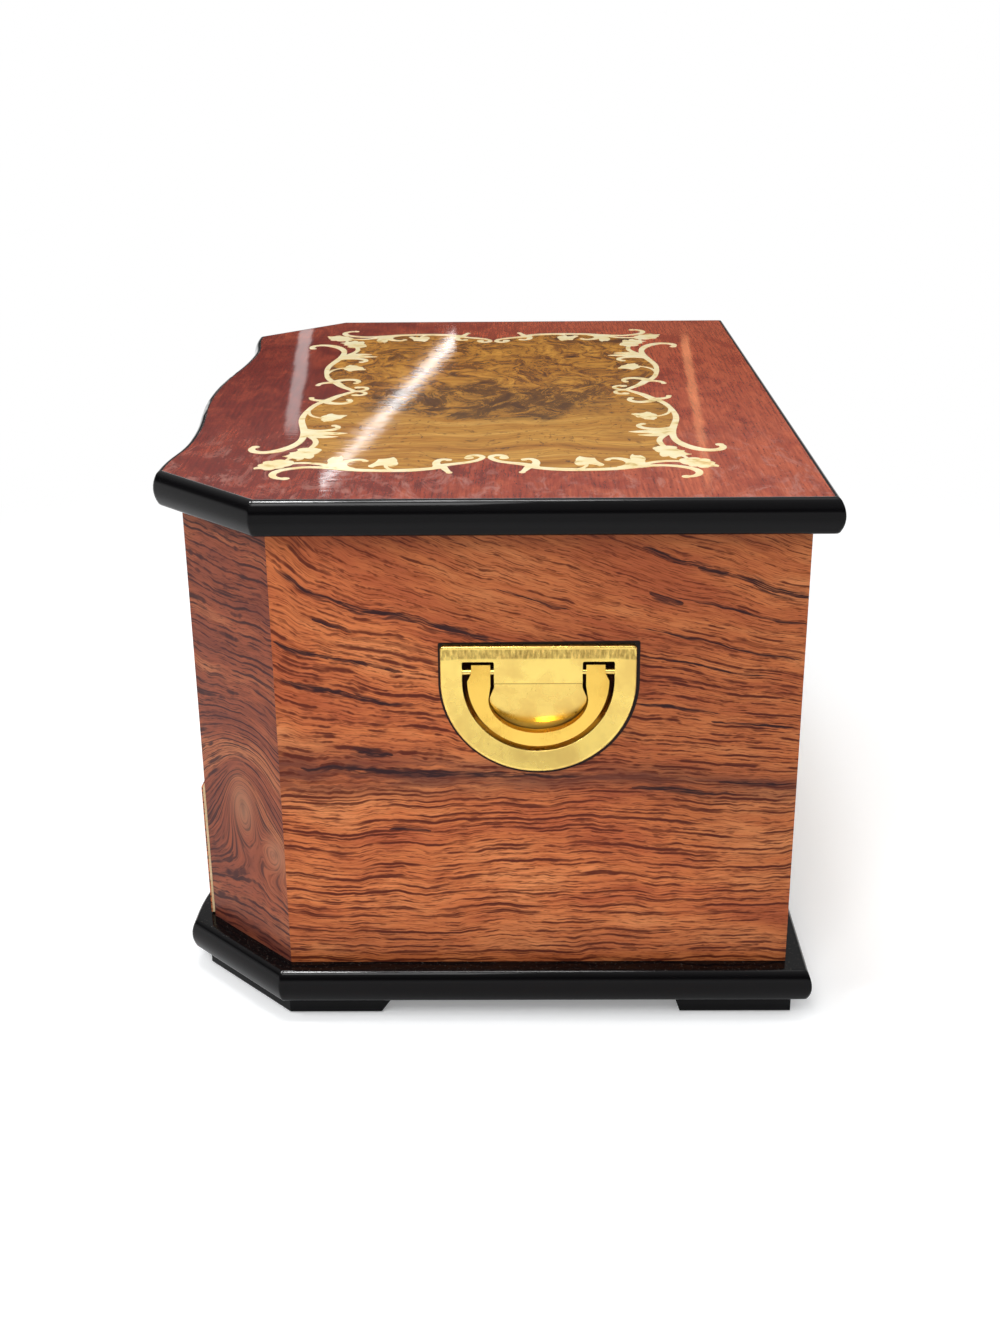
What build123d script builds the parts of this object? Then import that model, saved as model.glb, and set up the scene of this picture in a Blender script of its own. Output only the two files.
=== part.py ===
from build123d import *
import os
from math import asin, atan2, degrees, hypot, pi, sin, sqrt, tan

# All sizes in millimetres. The front faces -Y, Z is up, and the origin lies
# on the floor under the middle of the chest.

# Case, measured over the veneered walls
body_width = 373.0
body_depth = 255.5
wall_height = 196.0
tier_height = wall_height / 3    # three equal tiers above the base board
corner_cut = 40.0            # 45 degree cut at each front corner
wall = 12.0                  # side walls and corner posts
back_wall = 9.0
veneer = 0.6
deck = 6.0                   # boards between the tiers
stile = 1.5                  # flat front of a corner post beside the drawers

# Serpentine front: two hollows and a swell in the middle
hollow_from_corner = 48.5
hollow_in = 4.2
bulge_out = 2.0

# Lid and base boards with their rounded edges
lid_thickness = 15.0
base_thickness = 15.0
overhang = 10.4              # boards reach this far past the walls
nose_depth = 3.7             # depth of the oval edge
nose_corner = 2.4            # radius where the oval runs into the flat faces
nose_strip = 24.0            # depth of the strip that carries the front's edge
lid_gap = 0.2                # lid to wall top
rim = 0.3                    # black line left between top veneer and rounded edge
inlay_thickness = 0.15

# Feet and pads
foot_height = 8.5
foot_out = 3.0               # feet stand this far past the walls
foot_strip = 15.0
front_foot_length = 39.0     # along the side, behind the corner cut
front_foot_slant = 6.0
back_foot_length = 48.5
back_foot_slant = 3.0
front_foot_run = 30.0        # along the front, from the corner inwards
back_foot_run = 48.5
pad_thickness = 1.0
pad_radius = 5.5

# Drawers
front_thickness = 13.0
fixed_front_thickness = 15.5
set_back = 1.0               # closed drawer fronts lie this far behind the fixed panel
lower_drawer_pull = 3.0      # the lower drawer stands open by this much
front_gap = 0.75             # half the gap between two tiers
side_gap = 0.5               # drawer front to corner post
drawer_side = 8.0
drawer_play = 1.2            # drawer side to post
guide_play = 0.5             # drawer side to guide
drawer_drop = 3.0            # drawer box below the deck over it
slide_play = 0.3             # drawer box above what it slides on
bottom_thickness = 3.0
bottom_rise = 4.0            # bottom board above the drawer's lower edge
groove = 3.0
fit_play = 0.1
stop_depth = 8.0
stop_width = 14.0
stop_height = 12.0
stop_x = 80.0
stop_play = 0.2
guide_width = 10.0
guide_height = 10.0
lining = 1.2
lining_drop = 4.0            # lining stops this far below the drawer's rim
divider = 4.0
divider_height = 30.0

# Knobs
knob_base_radius = 4.5
knob_neck_radius = 3.0
knob_head_radius = 6.5
knob_reach = 12.0            # in front of the hollow
knob_base_height = 1.4
knob_sink = 0.9              # base let into the curved front, through its veneer
knob_screw_radius = 1.5
knob_screw_head_radius = 3.0
knob_screw_head_height = 2.0
knob_screw_grip = 6.0
screw_play = 0.05

# Hinges
hinge_length = 40.0
hinge_inset = 86.5           # hinge middle from the side of the case
knuckle_radius = 2.3
hinge_pin_radius = 1.0
pin_play = 0.05
leaf_thickness = 1.0
leaf_reach = 8.0             # leaf over the back wall
knuckle_room = 0.3
knuckle_gap = 0.2
hinge_screw_radius = 1.1
hinge_screw_head_radius = 2.1
hinge_screw_length = 8.0
hinge_screw_spread = 12.0    # screw to hinge middle
slot_width = 0.5
slot_depth = 0.5

# Flush handle, a D with its straight side up
plate_width = 79.5
plate_straight = 15.9        # straight side above the half circle
plate_drop = 47.8            # plate top below the wall top
plate_corner = 1.6
rim_height = 2.4             # outer rim above the wall
rim_round = 0.8              # rounding of the rim's outer edge
field_height = 1.0           # inner field above the wall
rim_edge = 1.2               # plate edge to where the rim slopes inwards
side_slope = 7.2             # width of the slope down to the field, at sides and bottom
top_slope = 4.8              # and at the top
pan_radius = 31.0            # outer wall of the recess
pan_top = 8.6                # recess top above the middle of the half circle
pan_wall = 2.0
pan_depth = 5.5
pan_floor = 1.8
pocket_play = 0.3
slot_corner = 0.8            # radius in the upper corners of the slots
island_half = 18.0           # island between the two slots
island_step = -2.8           # height at which the island widens into the finger cup
cup_half = 19.9              # half width of the cup
cup_bend = 8.0               # depth at which its sides turn into an oval end
cup_drop = 20.3              # its lowest point
ramp_top = -0.8
ramp_drop = 5.2
bail_radius = 28.9
bail_inner_half = 19.5
bail_inner_wide = 20.4
bail_inner_reach = 23.0
bail_shoulder = -2.2
bail_thickness = 4.0
bail_top_half = 27.2
bail_pivot = 3.5             # pivot above the middle of the half circle
bail_depth = 1.4             # pivot below the wall surface
bail_heel = 3.6              # arm above the pivot, the stop at the end of the swing
handle_pin_radius = 1.3
pin_bite = 1.5
handle_screw_spread = 11.0
handle_screw_up = 6.4
handle_screw_radius = 1.5
handle_screw_head = 2.9
handle_screw_head_height = 1.6
handle_screw_grip = 4.5

# Lid inside
lid_lining_thickness = 3.0
lid_lining_play = 4.0
mirror_width = 190.0
mirror_depth = 130.0
mirror_play = 0.3
frame_width = 7.0
frame_lap = 3.0
frame_thickness = 1.5

# Compartment under the lid
box_lining = 1.5
box_lining_drop = 9.0
box_divider = 5.0
box_divider_height = 36.0
side_section = 112.0         # width of the left and right sections
roll_count = 7
roll_width = 14.6
roll_height = 19.0
roll_gap = 0.6
roll_end = 7.0               # length over which an end draws in
roll_play = 0.4

# Scroll inlay, drawn for one quarter and mirrored
scroll_scale = 1.0
saw_line = 0.15

# Derived places
half_width = body_width / 2
front_corner_x = half_width - corner_cut
hollow_x = front_corner_x - hollow_from_corner
overall_depth = body_depth + 2 * overhang + bulge_out
back_y = overall_depth / 2 - overhang
front_y = back_y - body_depth
cut_y = front_y + corner_cut
base_z = pad_thickness + foot_height
floor_z = base_z + base_thickness
wall_top = floor_z + wall_height
lid_z = wall_top + lid_gap
lid_top = lid_z + lid_thickness
first_tier = floor_z + tier_height
second_tier = floor_z + 2 * tier_height
mitre = tan(pi / 8)
opening_half = front_corner_x - stile
inner_side_x = half_width - wall
inner_back_y = back_y - back_wall
deck_front_y = front_y + fixed_front_thickness
up = (0, 0, 1)


def box(x0, x1, y0, y1, z0, z1):
    """Plain block between two corners"""
    middle = ((x0 + x1) / 2, (y0 + y1) / 2, (z0 + z1) / 2)
    return Pos(*middle) * Box(abs(x1 - x0), abs(y1 - y0), abs(z1 - z0))


def prism(outline, z0, z1):
    """Upright prism over a closed plan outline of points or edges"""
    if isinstance(outline, list):
        outline = Polyline(*outline, close=True)
    return Pos(0, 0, z0) * extrude(make_face(outline), amount=z1 - z0, dir=up)


def cylinder_y(radius, x, y0, y1, z):
    """Round bar along Y"""
    turn = Rot(90, 0, 0) * Cylinder(radius, abs(y1 - y0))
    return Pos(x, (y0 + y1) / 2, z) * turn


def cylinder_x(radius, x0, x1, y, z):
    """Round bar along X"""
    turn = Rot(0, 90, 0) * Cylinder(radius, abs(x1 - x0))
    return Pos((x0 + x1) / 2, y, z) * turn


def group(solids):
    """Separate solids of one node"""
    return Compound(children=[s for part in solids for s in part.solids()])


def mirrored(part):
    """The same piece on the other side of the chest"""
    return mirror(part, about=Plane.YZ)


def plan(inset):
    """Corner points of the case outline, moved inwards by inset"""
    side = half_width - inset
    corner = front_corner_x - inset * mitre
    right = [(corner, front_y + inset), (side, cut_y + inset * mitre), (side, back_y - inset)]
    return right + [(-x, y) for x, y in reversed(right)]


def wave_part(x):
    """Radius of the front's arc at x, its centre's x, and whether it curves inwards"""
    x = abs(x)
    if x >= hollow_x:
        span, rise, low, high = front_corner_x - hollow_x, hollow_in, front_corner_x, hollow_x
    else:
        span, rise, low, high = hollow_x, hollow_in + bulge_out, 0.0, hollow_x
    radius = (span ** 2 + rise ** 2) / (4 * rise)
    inward = abs(x - high) < abs(x - low)
    return radius, (high if inward else low), inward


def wave(x):
    """How far the serpentine front lies behind its straight ends at x"""
    x = abs(x)
    if x >= front_corner_x:
        return 0.0
    radius, middle, inward = wave_part(x)
    bend = radius - sqrt(radius ** 2 - (x - middle) ** 2)
    if inward:
        return hollow_in - bend
    return bend - (bulge_out if middle == 0.0 else 0.0)


def wave_stops(half):
    """X of the ends of the front's arcs, from -half to half"""
    turns = [hollow_x / 2, hollow_x, (hollow_x + front_corner_x) / 2, front_corner_x]
    right = [x for x in turns if x < half - fit_play] + [half]
    return [-x for x in reversed(right)] + right


def wave_line(y, half):
    """Serpentine line of tangent arcs from -half to half, its ends near y"""
    stops = wave_stops(half)
    pieces = []
    for x0, x1 in zip(stops, stops[1:]):
        a, b, c = [(x, y + wave(x)) for x in (x0, (x0 + x1) / 2, x1)]
        straight = min(abs(x0), abs(x1)) >= front_corner_x - fit_play
        pieces.append(Line(a, c) if straight else ThreePointArc(a, b, c))
    return pieces


def wave_band(y0, y1, half, z0, z1):
    """Upright band with a serpentine front, its back serpentine too or flat"""
    lift = wave(half)
    front = wave_line(y0, half)
    if y1 - y0 < veneer + fit_play:
        back = wave_line(y1, half)
        sides = [Line((x, y0 + lift), (x, y1 + lift)) for x in (-half, half)]
        return prism(Curve() + front + back + sides, z0, z1)
    back = Polyline((-half, y0 + lift), (-half, y1), (half, y1), (half, y0 + lift))
    return prism(Curve() + front + [back], z0, z1)


def nose_profile(thickness, reach):
    """Section of a board with an oval edge of three arcs, its tip at the origin"""
    half, corner = thickness / 2, nose_corner
    rise = half - corner
    large = (nose_depth ** 2 + rise ** 2 - corner ** 2) / (2 * (nose_depth - corner))
    share = large / (large - corner)
    touch_x, touch_y = share * (large - nose_depth) - large, share * rise
    arcs = [TangentArc((-nose_depth, thickness), (touch_x, half + touch_y), tangent=(1, 0)),
            ThreePointArc((touch_x, half + touch_y), (0, half), (touch_x, half - touch_y)),
            TangentArc((-nose_depth, 0), (touch_x, half - touch_y), tangent=(1, 0))]
    rest = Polyline((-nose_depth, thickness), (-reach, thickness), (-reach, 0), (-nose_depth, 0))
    return make_face(Curve() + arcs + [rest])


def nosed_board(z0, thickness):
    """Board with the case's outline, an oval edge and a serpentine front"""
    far = 2 * (body_width + body_depth)
    slant = overhang * sqrt(0.5)
    edges = [((half_width + overhang, 0), (1, 0)),
             ((-half_width - overhang, 0), (-1, 0)),
             ((0, back_y + overhang), (0, 1)),
             ((half_width + slant, cut_y - slant), (1, -1)),
             ((-half_width - slant, cut_y - slant), (-1, -1))]
    board = None
    for (x, y), (nx, ny) in edges:
        place = Plane(origin=(x, y, z0), x_dir=(nx, ny, 0), z_dir=(ny, -nx, 0))
        slab = extrude(place * nose_profile(thickness, far), amount=far, both=True)
        board = slab if board is None else board & slab
    tip_y = front_y - overhang
    strip = box(-far, far, tip_y + nose_strip / 2, far, z0, z0 + thickness)
    for piece in front_strip(tip_y, z0, thickness):
        strip += piece
    return board & strip


def front_strip(tip_y, z0, thickness):
    """Rounded strip along the serpentine front, one piece for each arc"""
    profile = nose_profile(thickness, nose_strip)
    stops = wave_stops(half_width)
    pieces = []
    for x0, x1 in zip(stops, stops[1:]):
        y0 = tip_y + wave(x0)
        if min(abs(x0), abs(x1)) >= front_corner_x - fit_play:
            place = Plane(origin=(x0, y0, z0), x_dir=(0, -1, 0), z_dir=(-1, 0, 0))
            pieces.append(extrude(place * profile, amount=x1 - x0, dir=(1, 0, 0)))
            continue
        middle = (x0 + x1) / 2
        radius, centre_x, inward = wave_part(middle)
        centre_x = centre_x if middle > 0 else -centre_x
        rise = sqrt(radius ** 2 - (x0 - centre_x) ** 2)
        centre_y = y0 - rise if inward else y0 + rise
        side = 1 if inward else -1
        nx, ny = side * (centre_x - x0) / radius, side * (centre_y - y0) / radius
        place = Plane(origin=(x0, y0, z0), x_dir=(nx, ny, 0), z_dir=(ny, -nx, 0))
        turn = degrees(asin((x1 - centre_x) / radius) - asin((x0 - centre_x) / radius))
        axis = Axis((centre_x, centre_y, 0), (0, 0, -side))
        pieces.append(revolve(place * profile, axis=axis, revolution_arc=turn))
    return pieces


def top_outline(inset):
    """Plan outline of a sheet on the lid, inset from the tip of its rounded edge"""
    points = plan(inset - overhang)
    front = wave_line(points[0][1], points[0][0])
    return Curve() + front + [Polyline(*points)]


def post_inner_y(x):
    """Y of a corner post's inner face at x"""
    return x - half_width + cut_y + wall * sqrt(2)


# Scroll ornament of the lid, one quarter; u runs from the middle to the back
# edge, v from the middle to the side edge.
side_scroll = [
    ([(67.4, 1.0), (63.4, 1.4), (61.4, 5.2), (63.2, 8.9), (66.3, 8.6)], (1.6, 2.5), True),
    ([(67.6, 0.6), (71.3, 6.2), (74.9, 12.0), (76.9, 17.0), (79.6, 22.6)], (2.4, 4.6), False),
    ([(78.6, 23.4), (74.6, 27.0), (70.4, 27.2), (67.4, 23.6), (68.2, 19.0)], (4.4, 2.0), True),
    ([(78.8, 20.6), (83.2, 20.2), (86.2, 17.6), (86.9, 14.6)], (4.2, 1.9), True),
    ([(79.6, 21.6), (83.6, 31.4), (85.3, 40.6), (86.3, 52.0), (85.9, 63.0), (84.2, 73.0),
      (82.6, 82.0), (81.6, 94.1), (82.0, 101.7), (84.5, 110.3), (89.1, 117.3), (94.8, 120.6),
      (99.3, 119.2), (101.2, 115.4), (100.2, 111.0)], (3.2, 2.4, 2.8, 3.4, 3.0, 4.8, 2.6), True),
    ([(85.2, 41.0), (84.0, 48.7), (82.0, 53.4), (77.4, 57.0)], (1.8, 1.3), False),
    ([(83.0, 79.4), (79.2, 81.8), (73.4, 82.0), (69.0, 79.2), (67.9, 75.3), (70.0, 72.4)],
     (3.6, 3.4, 2.0), True),
    ([(82.0, 86.0), (77.4, 95.0), (74.9, 103.6), (75.3, 110.2), (77.0, 117.0)], (3.2, 2.6, 2.2), False),
    ([(82.4, 130.0), (83.6, 132.6), (83.8, 136.6)], (1.7, 1.5), False),
]
end_scroll = [
    ([(20.0, 145.6), (10.6, 140.2), (4.9, 136.9), (2.3, 133.2), (1.9, 129.4), (4.2, 127.4),
      (7.0, 128.5), (7.4, 131.4)], (4.4, 2.8, 2.4, 2.8), True),
    ([(18.8, 144.4), (20.6, 137.6), (18.4, 133.9), (15.8, 134.7)], (4.0, 2.0), True),
    ([(18.4, 144.0), (16.4, 150.6), (14.9, 154.9)], (4.0, 1.9), True),
    ([(18.4, 146.4), (26.0, 149.8), (35.0, 151.3), (46.4, 151.2), (54.0, 150.0), (61.0, 147.4),
      (67.0, 145.9), (73.4, 145.3), (80.2, 147.4), (84.9, 151.1), (86.7, 155.9), (85.0, 161.4),
      (80.8, 163.0)], (3.2, 4.2, 3.4, 4.4, 2.8, 3.4, 2.6), True),
    ([(38.4, 150.0), (40.6, 147.4), (41.4, 142.0)], (1.5, 1.7), False),
    ([(56.0, 148.6), (59.6, 143.6), (59.4, 138.2), (56.6, 134.7), (52.8, 133.6), (50.6, 135.8)],
     (4.6, 4.2, 1.9), True),
    ([(63.6, 147.4), (68.4, 141.0), (74.4, 138.6), (82.0, 139.6)], (3.0, 2.2), False),
]
# Leaves: corners of the outline, each followed by a point that bends the line to the next one
leaves = [
    [(77.8, 56.8), (77.4, 53.6), (75.6, 51.6), (75.0, 49.6), (73.2, 48.6), (71.8, 50.6),
     (69.6, 51.6), (67.8, 51.6), (66.0, 52.6), (67.4, 55.4), (68.2, 58.8), (70.4, 60.4),
     (71.6, 63.0), (73.6, 63.4), (75.6, 64.6), (76.4, 62.6), (77.4, 60.8), (77.2, 58.8)],
    [(82.6, 83.0), (73.0, 84.2), (62.6, 86.8), (69.0, 89.4), (74.0, 89.8), (70.6, 91.8),
     (66.2, 92.8), (73.0, 95.4), (82.0, 91.4), (83.4, 87.0)],
    [(75.4, 113.6), (78.8, 113.2), (81.6, 115.6), (81.4, 119.0), (84.2, 121.2), (83.9, 124.0),
     (86.6, 127.4), (84.4, 128.6), (83.6, 130.8), (81.2, 131.0), (79.6, 134.2), (77.2, 132.2),
     (77.0, 129.6), (75.8, 130.8), (74.0, 131.2), (73.0, 128.0), (73.6, 124.4), (72.2, 122.6),
     (71.4, 119.2), (71.2, 116.0), (72.8, 114.6), (74.0, 113.4)],
    [(80.6, 138.6), (81.0, 135.4), (84.0, 134.2), (87.4, 133.0), (89.6, 135.0), (92.6, 135.8),
     (92.8, 139.4), (94.8, 141.8), (93.8, 144.0), (95.6, 145.6), (95.4, 148.2), (92.8, 147.6),
     (91.2, 149.2), (88.6, 149.4), (87.0, 147.4), (84.4, 147.0), (83.4, 144.4), (81.2, 142.6)],
    [(61.9, 126.4), (63.1, 129.2), (64.8, 129.0), (66.6, 134.4), (65.8, 138.6), (65.8, 143.4),
     (63.4, 147.8), (60.4, 143.0), (60.8, 137.0), (60.2, 131.6)],
    [(39.2, 129.8), (42.4, 132.4), (45.4, 133.0), (46.4, 138.2), (48.6, 143.0), (48.2, 145.4),
     (46.4, 146.0), (44.6, 143.4), (41.6, 142.8), (40.2, 144.2), (38.0, 144.4), (36.6, 141.0),
     (37.2, 137.6), (37.6, 133.6)],
]
# Edge of the burl panel in the same quarter, under the scrolls
panel_edge = [(67.2, 0.0), (74.9, 11.4), (79.4, 22.2), (83.6, 31.6), (85.3, 41.0), (86.2, 52.0),
              (85.8, 63.0), (84.0, 73.5), (82.0, 84.0), (77.4, 94.6), (75.1, 104.0), (75.8, 112.0),
              (77.8, 124.0), (82.2, 133.4), (80.0, 138.9), (72.6, 139.0), (67.2, 142.6),
              (61.0, 147.4), (54.0, 149.9), (46.4, 151.1), (35.0, 151.1), (26.0, 149.6),
              (17.6, 144.6), (10.6, 140.3), (4.9, 136.9), (0.0, 131.6)]


def drawn(point):
    """Place of an ornament point on the lid, in the quarter at right and back"""
    u, v = point
    return (v * scroll_scale, u * scroll_scale)


def ribbon(points, widths, curled):
    """Tapering stem along a smooth line, with round ends; a curled tip ends in a bead"""
    line = Spline(*[drawn(p) for p in points])
    steps = 3 * (len(points) - 1)
    left, right = [], []
    for i in range(steps + 1):
        t = i / steps
        at = t * (len(widths) - 1)
        k = min(int(at), len(widths) - 2)
        half = scroll_scale * (widths[k] + (widths[k + 1] - widths[k]) * (at - k)) / 2
        spot, way = line @ t, line % t
        side = Vector(-way.Y, way.X, 0) * half
        left.append(spot + side)
        right.append(spot - side)
    ends = [Line(left[0], right[0]), Line(left[-1], right[-1])]
    face = make_face(Curve() + [Spline(*left), Spline(*right)] + ends)
    start = Pos(*(line @ 0)) * Circle(scroll_scale * widths[0] / 2)
    bead = 1.45 if curled else 1.0
    tip = Pos(*(line @ 1)) * Circle(scroll_scale * widths[-1] / 2 * bead)
    return [face, start, tip]


def leaf(outline):
    """Leaf drawn by arcs from corner to corner"""
    spots = [drawn(p) for p in outline + outline[:1]]
    arcs = [ThreePointArc(spots[i], spots[i + 1], spots[i + 2]) for i in range(0, len(outline), 2)]
    return make_face(Curve() + arcs)


def scroll_quarter():
    """All stems and leaves of one quarter, joined and cut at the two centre lines"""
    faces = []
    for points, widths, curled in side_scroll + end_scroll:
        faces += ribbon(points, widths, curled)
    faces += [leaf(outline) for outline in leaves]
    joined = faces[0]
    for face in faces[1:]:
        joined = joined + face
    reach = body_width
    return joined & (Pos(saw_line, saw_line) * Rectangle(reach, reach, align=(Align.MIN, Align.MIN)))


def burl_outline():
    """Closed outline of the burl panel, four mirrored quarters"""
    quarter = Spline(*[drawn(p) for p in panel_edge])
    back = mirror(quarter, about=Plane.YZ)
    front = [mirror(edge, about=Plane.XZ) for edge in (quarter, back)]
    return Curve() + [quarter, back] + front


# Case
def make_case():
    """Boards, walls, posts, decks, feet and the parts that guide the drawers"""
    parts = {}
    parts["base_board"] = nosed_board(base_z, base_thickness)
    make_feet(parts)
    core = plan(veneer)
    inner = plan(wall)
    post = [(opening_half, front_y + veneer), core[0], core[1], inner[1],
            (opening_half, post_inner_y(opening_half))]
    right_post = prism(post, floor_z, wall_top)
    parts["corner_post_right"] = right_post
    parts["corner_post_left"] = mirrored(right_post)
    side = prism([core[1], (core[1][0], back_y), (inner_side_x, back_y), inner[1]], floor_z, wall_top)
    side -= handle_pocket()
    parts["side_panel_right"] = side
    parts["side_panel_left"] = mirrored(side)
    outer = plan(0)
    skin = prism([outer[1], (half_width, back_y), (core[1][0], back_y), core[1]], floor_z, wall_top)
    skin -= handle_pocket()
    parts["side_veneers"] = group([skin, mirrored(skin)])
    front_skin = [(opening_half, front_y), outer[0], outer[1], core[1], core[0],
                  (opening_half, front_y + veneer)]
    skin = prism(front_skin, floor_z, wall_top)
    parts["post_veneers"] = group([skin, mirrored(skin)])
    back = box(-inner_side_x, inner_side_x, inner_back_y, back_y, floor_z, wall_top)
    for x in hinge_places():
        back -= hinge_mortise(x)
        for sx in screw_places(x):
            back -= screw_hole(sx, wall_top)
    parts["back_panel"] = back
    top_half = opening_half
    z0 = second_tier + front_gap
    parts["front_panel"] = wave_band(front_y + veneer, deck_front_y, top_half, z0, wall_top)
    parts["front_panel_veneer"] = wave_band(front_y, front_y + veneer, top_half, z0, wall_top)
    for name, level in (("middle_deck", first_tier), ("compartment_floor", second_tier)):
        parts[name] = prism(deck_outline(), level - deck / 2, level + deck / 2)
    guides, stops = [], []
    for level in (floor_z, first_tier + deck / 2):
        x0 = opening_half - drawer_play + guide_play
        y0 = post_inner_y(x0 + guide_width) + fit_play
        rail = box(x0, x0 + guide_width, y0, inner_back_y, level, level + guide_height)
        stop = box(stop_x - stop_width / 2, stop_x + stop_width / 2,
                   inner_back_y - stop_depth, inner_back_y, level, level + stop_height)
        guides += [rail, mirrored(rail)]
        stops += [stop, mirrored(stop)]
    parts["drawer_guides"] = group(guides)
    parts["drawer_stops"] = group(stops)
    return parts


def deck_outline():
    """Plan of a deck: behind the fronts, between the posts, walls and back"""
    right = [(opening_half, deck_front_y), (opening_half, post_inner_y(opening_half)),
             plan(wall)[1], (inner_side_x, inner_back_y)]
    if deck_front_y >= post_inner_y(opening_half):
        right[0:2] = [(half_width - cut_y - wall * sqrt(2) + deck_front_y, deck_front_y)]
    return right + [(-x, y) for x, y in reversed(right)]


def make_feet(parts):
    """Bracket feet round the four corners, with slanted ends, and a pad under each"""
    ring = prism(plan(-foot_out), pad_thickness, base_z)
    ring -= prism(plan(foot_strip - foot_out), pad_thickness, base_z)
    far = body_width
    z0, z1 = pad_thickness, base_z

    def ends(y_low, y_high, x_low, x_high, front):
        side_y = -far if front else far
        along = make_face(Plane.YZ * Polyline((side_y, z0), (y_low, z0), (y_high, z1),
                                              (side_y, z1), close=True))
        across = make_face(Plane.XZ * Polyline((far, z0), (x_low, z0), (x_high, z1),
                                               (far, z1), close=True))
        return extrude(along, amount=far, both=True) & extrude(across, amount=far, both=True)

    corner = front_corner_x
    front_end = cut_y + front_foot_length
    front_foot = ring & ends(front_end, front_end + front_foot_slant,
                             corner - front_foot_run, corner - front_foot_run - front_foot_slant, True)
    back_end = back_y + foot_out - back_foot_length
    back_x = half_width + foot_out - back_foot_run
    back_foot = ring & ends(back_end, back_end - back_foot_slant, back_x, back_x - back_foot_slant, False)
    parts["foot_front_right"] = front_foot
    parts["foot_front_left"] = mirrored(front_foot)
    parts["foot_back_right"] = back_foot
    parts["foot_back_left"] = mirrored(back_foot)
    middle = half_width + foot_out - foot_strip / 2
    spots = [(middle, front_end - 2 * pad_radius), (middle, back_end + 2 * pad_radius),
             (back_x + 2 * pad_radius, back_y + foot_out - foot_strip / 2)]
    spots.append((corner - front_foot_run + 2 * pad_radius, front_y - foot_out + foot_strip / 2))
    pads = [Pos(x, y, pad_thickness / 2) * Cylinder(pad_radius, pad_thickness) for x, y in spots]
    parts["felt_pads"] = group(pads + [mirrored(pad) for pad in pads])


# Hinges
def hinge_places():
    """X of the two hinge middles"""
    return (hinge_inset - half_width, half_width - hinge_inset)


def screw_places(x):
    """X of the two screws of a leaf"""
    return (x - hinge_screw_spread, x + hinge_screw_spread)


def hinge_axis():
    """Y and Z of the hinge pins"""
    return (back_y + knuckle_radius + knuckle_room, wall_top + lid_gap / 2)


def leaf_screw_y():
    """Y of the hinge screws, in the middle of the back wall"""
    return back_y - back_wall / 2


def hinge_mortise(x):
    """Space for a hinge leaf in the top of the back wall"""
    half = hinge_length / 2 + fit_play
    return box(x - half, x + half, back_y - leaf_reach - fit_play, back_y + 1,
               wall_top - leaf_thickness, wall_top + 1)


def knuckle(x0, x1):
    """One knuckle, still solid"""
    y, z = hinge_axis()
    return cylinder_x(knuckle_radius, x0, x1, y, z)


def countersink(x, z, turned):
    """Cone of a screw head, its wide end at z and its point down, or up if turned"""
    cone = Cone(hinge_screw_radius, hinge_screw_head_radius, leaf_thickness)
    if turned:
        cone = Rot(180, 0, 0) * cone
    lift = leaf_thickness / 2 if turned else -leaf_thickness / 2
    return Pos(x, leaf_screw_y(), z + lift) * cone


def hinge_screw(x, z, turned):
    """Countersunk screw with a slot, its head flush at z"""
    sign = 1 if turned else -1
    y = leaf_screw_y()
    shank = Pos(x, y, z + sign * (leaf_thickness + hinge_screw_length / 2)) * Cylinder(
        hinge_screw_radius, hinge_screw_length)
    slot = Pos(x, y, z) * Box(3 * hinge_screw_head_radius, slot_width, 2 * slot_depth)
    return countersink(x, z, turned) + shank - slot


def screw_hole(x, z):
    """Hole for a hinge screw, above and below z"""
    depth = leaf_thickness + hinge_screw_length + fit_play
    return Pos(x, leaf_screw_y(), z) * Cylinder(hinge_screw_radius + screw_play, 2 * depth)


def make_hinges():
    """Two butt hinges: case leaves, lid leaves, pins and screws"""
    y, z = hinge_axis()
    third = hinge_length / 3
    case_leaves, lid_leaves, pins, case_screws, lid_screws = [], [], [], [], []
    for x in hinge_places():
        x0 = x - hinge_length / 2
        bore = cylinder_x(hinge_pin_radius + pin_play, x0 - 1, x0 + hinge_length + 1, y, z)
        room = cylinder_x(knuckle_radius + knuckle_gap, x0 + third - knuckle_gap,
                          x0 + 2 * third + knuckle_gap, y, z)
        leaf_low = box(x0, x0 + hinge_length, back_y - leaf_reach, y, wall_top - leaf_thickness, wall_top)
        low = leaf_low - room
        low += knuckle(x0, x0 + third - knuckle_gap)
        low += knuckle(x0 + 2 * third + knuckle_gap, x0 + hinge_length)
        low -= bore
        leaf_high = box(x0, x0 + hinge_length, back_y - leaf_reach, y, lid_z, lid_z + leaf_thickness)
        for a, b in ((x0 - 1, x0 + third), (x0 + 2 * third, x0 + hinge_length + 1)):
            leaf_high -= cylinder_x(knuckle_radius + knuckle_gap, a, b, y, z)
        high = leaf_high + knuckle(x0 + third, x0 + 2 * third) - bore
        for sx in screw_places(x):
            low -= countersink(sx, wall_top, False)
            high -= countersink(sx, lid_z, True)
            case_screws.append(hinge_screw(sx, wall_top, False))
            lid_screws.append(hinge_screw(sx, lid_z, True))
        case_leaves.append(low)
        lid_leaves.append(high)
        pins.append(cylinder_x(hinge_pin_radius, x0, x0 + hinge_length, y, z))
    return {"hinge_case_leaves": group(case_leaves), "hinge_lid_leaves": group(lid_leaves),
            "hinge_pins": group(pins), "hinge_case_screws": group(case_screws),
            "hinge_lid_screws": group(lid_screws)}


# Flush handles, drawn on the wall: u along the wall, v up from the half circle's middle
handle_y = (cut_y + back_y) / 2
handle_z = wall_top - plate_drop - plate_straight
wall_plane = Plane(origin=(half_width, handle_y, handle_z), x_dir=(0, 1, 0), z_dir=(1, 0, 0))


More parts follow.
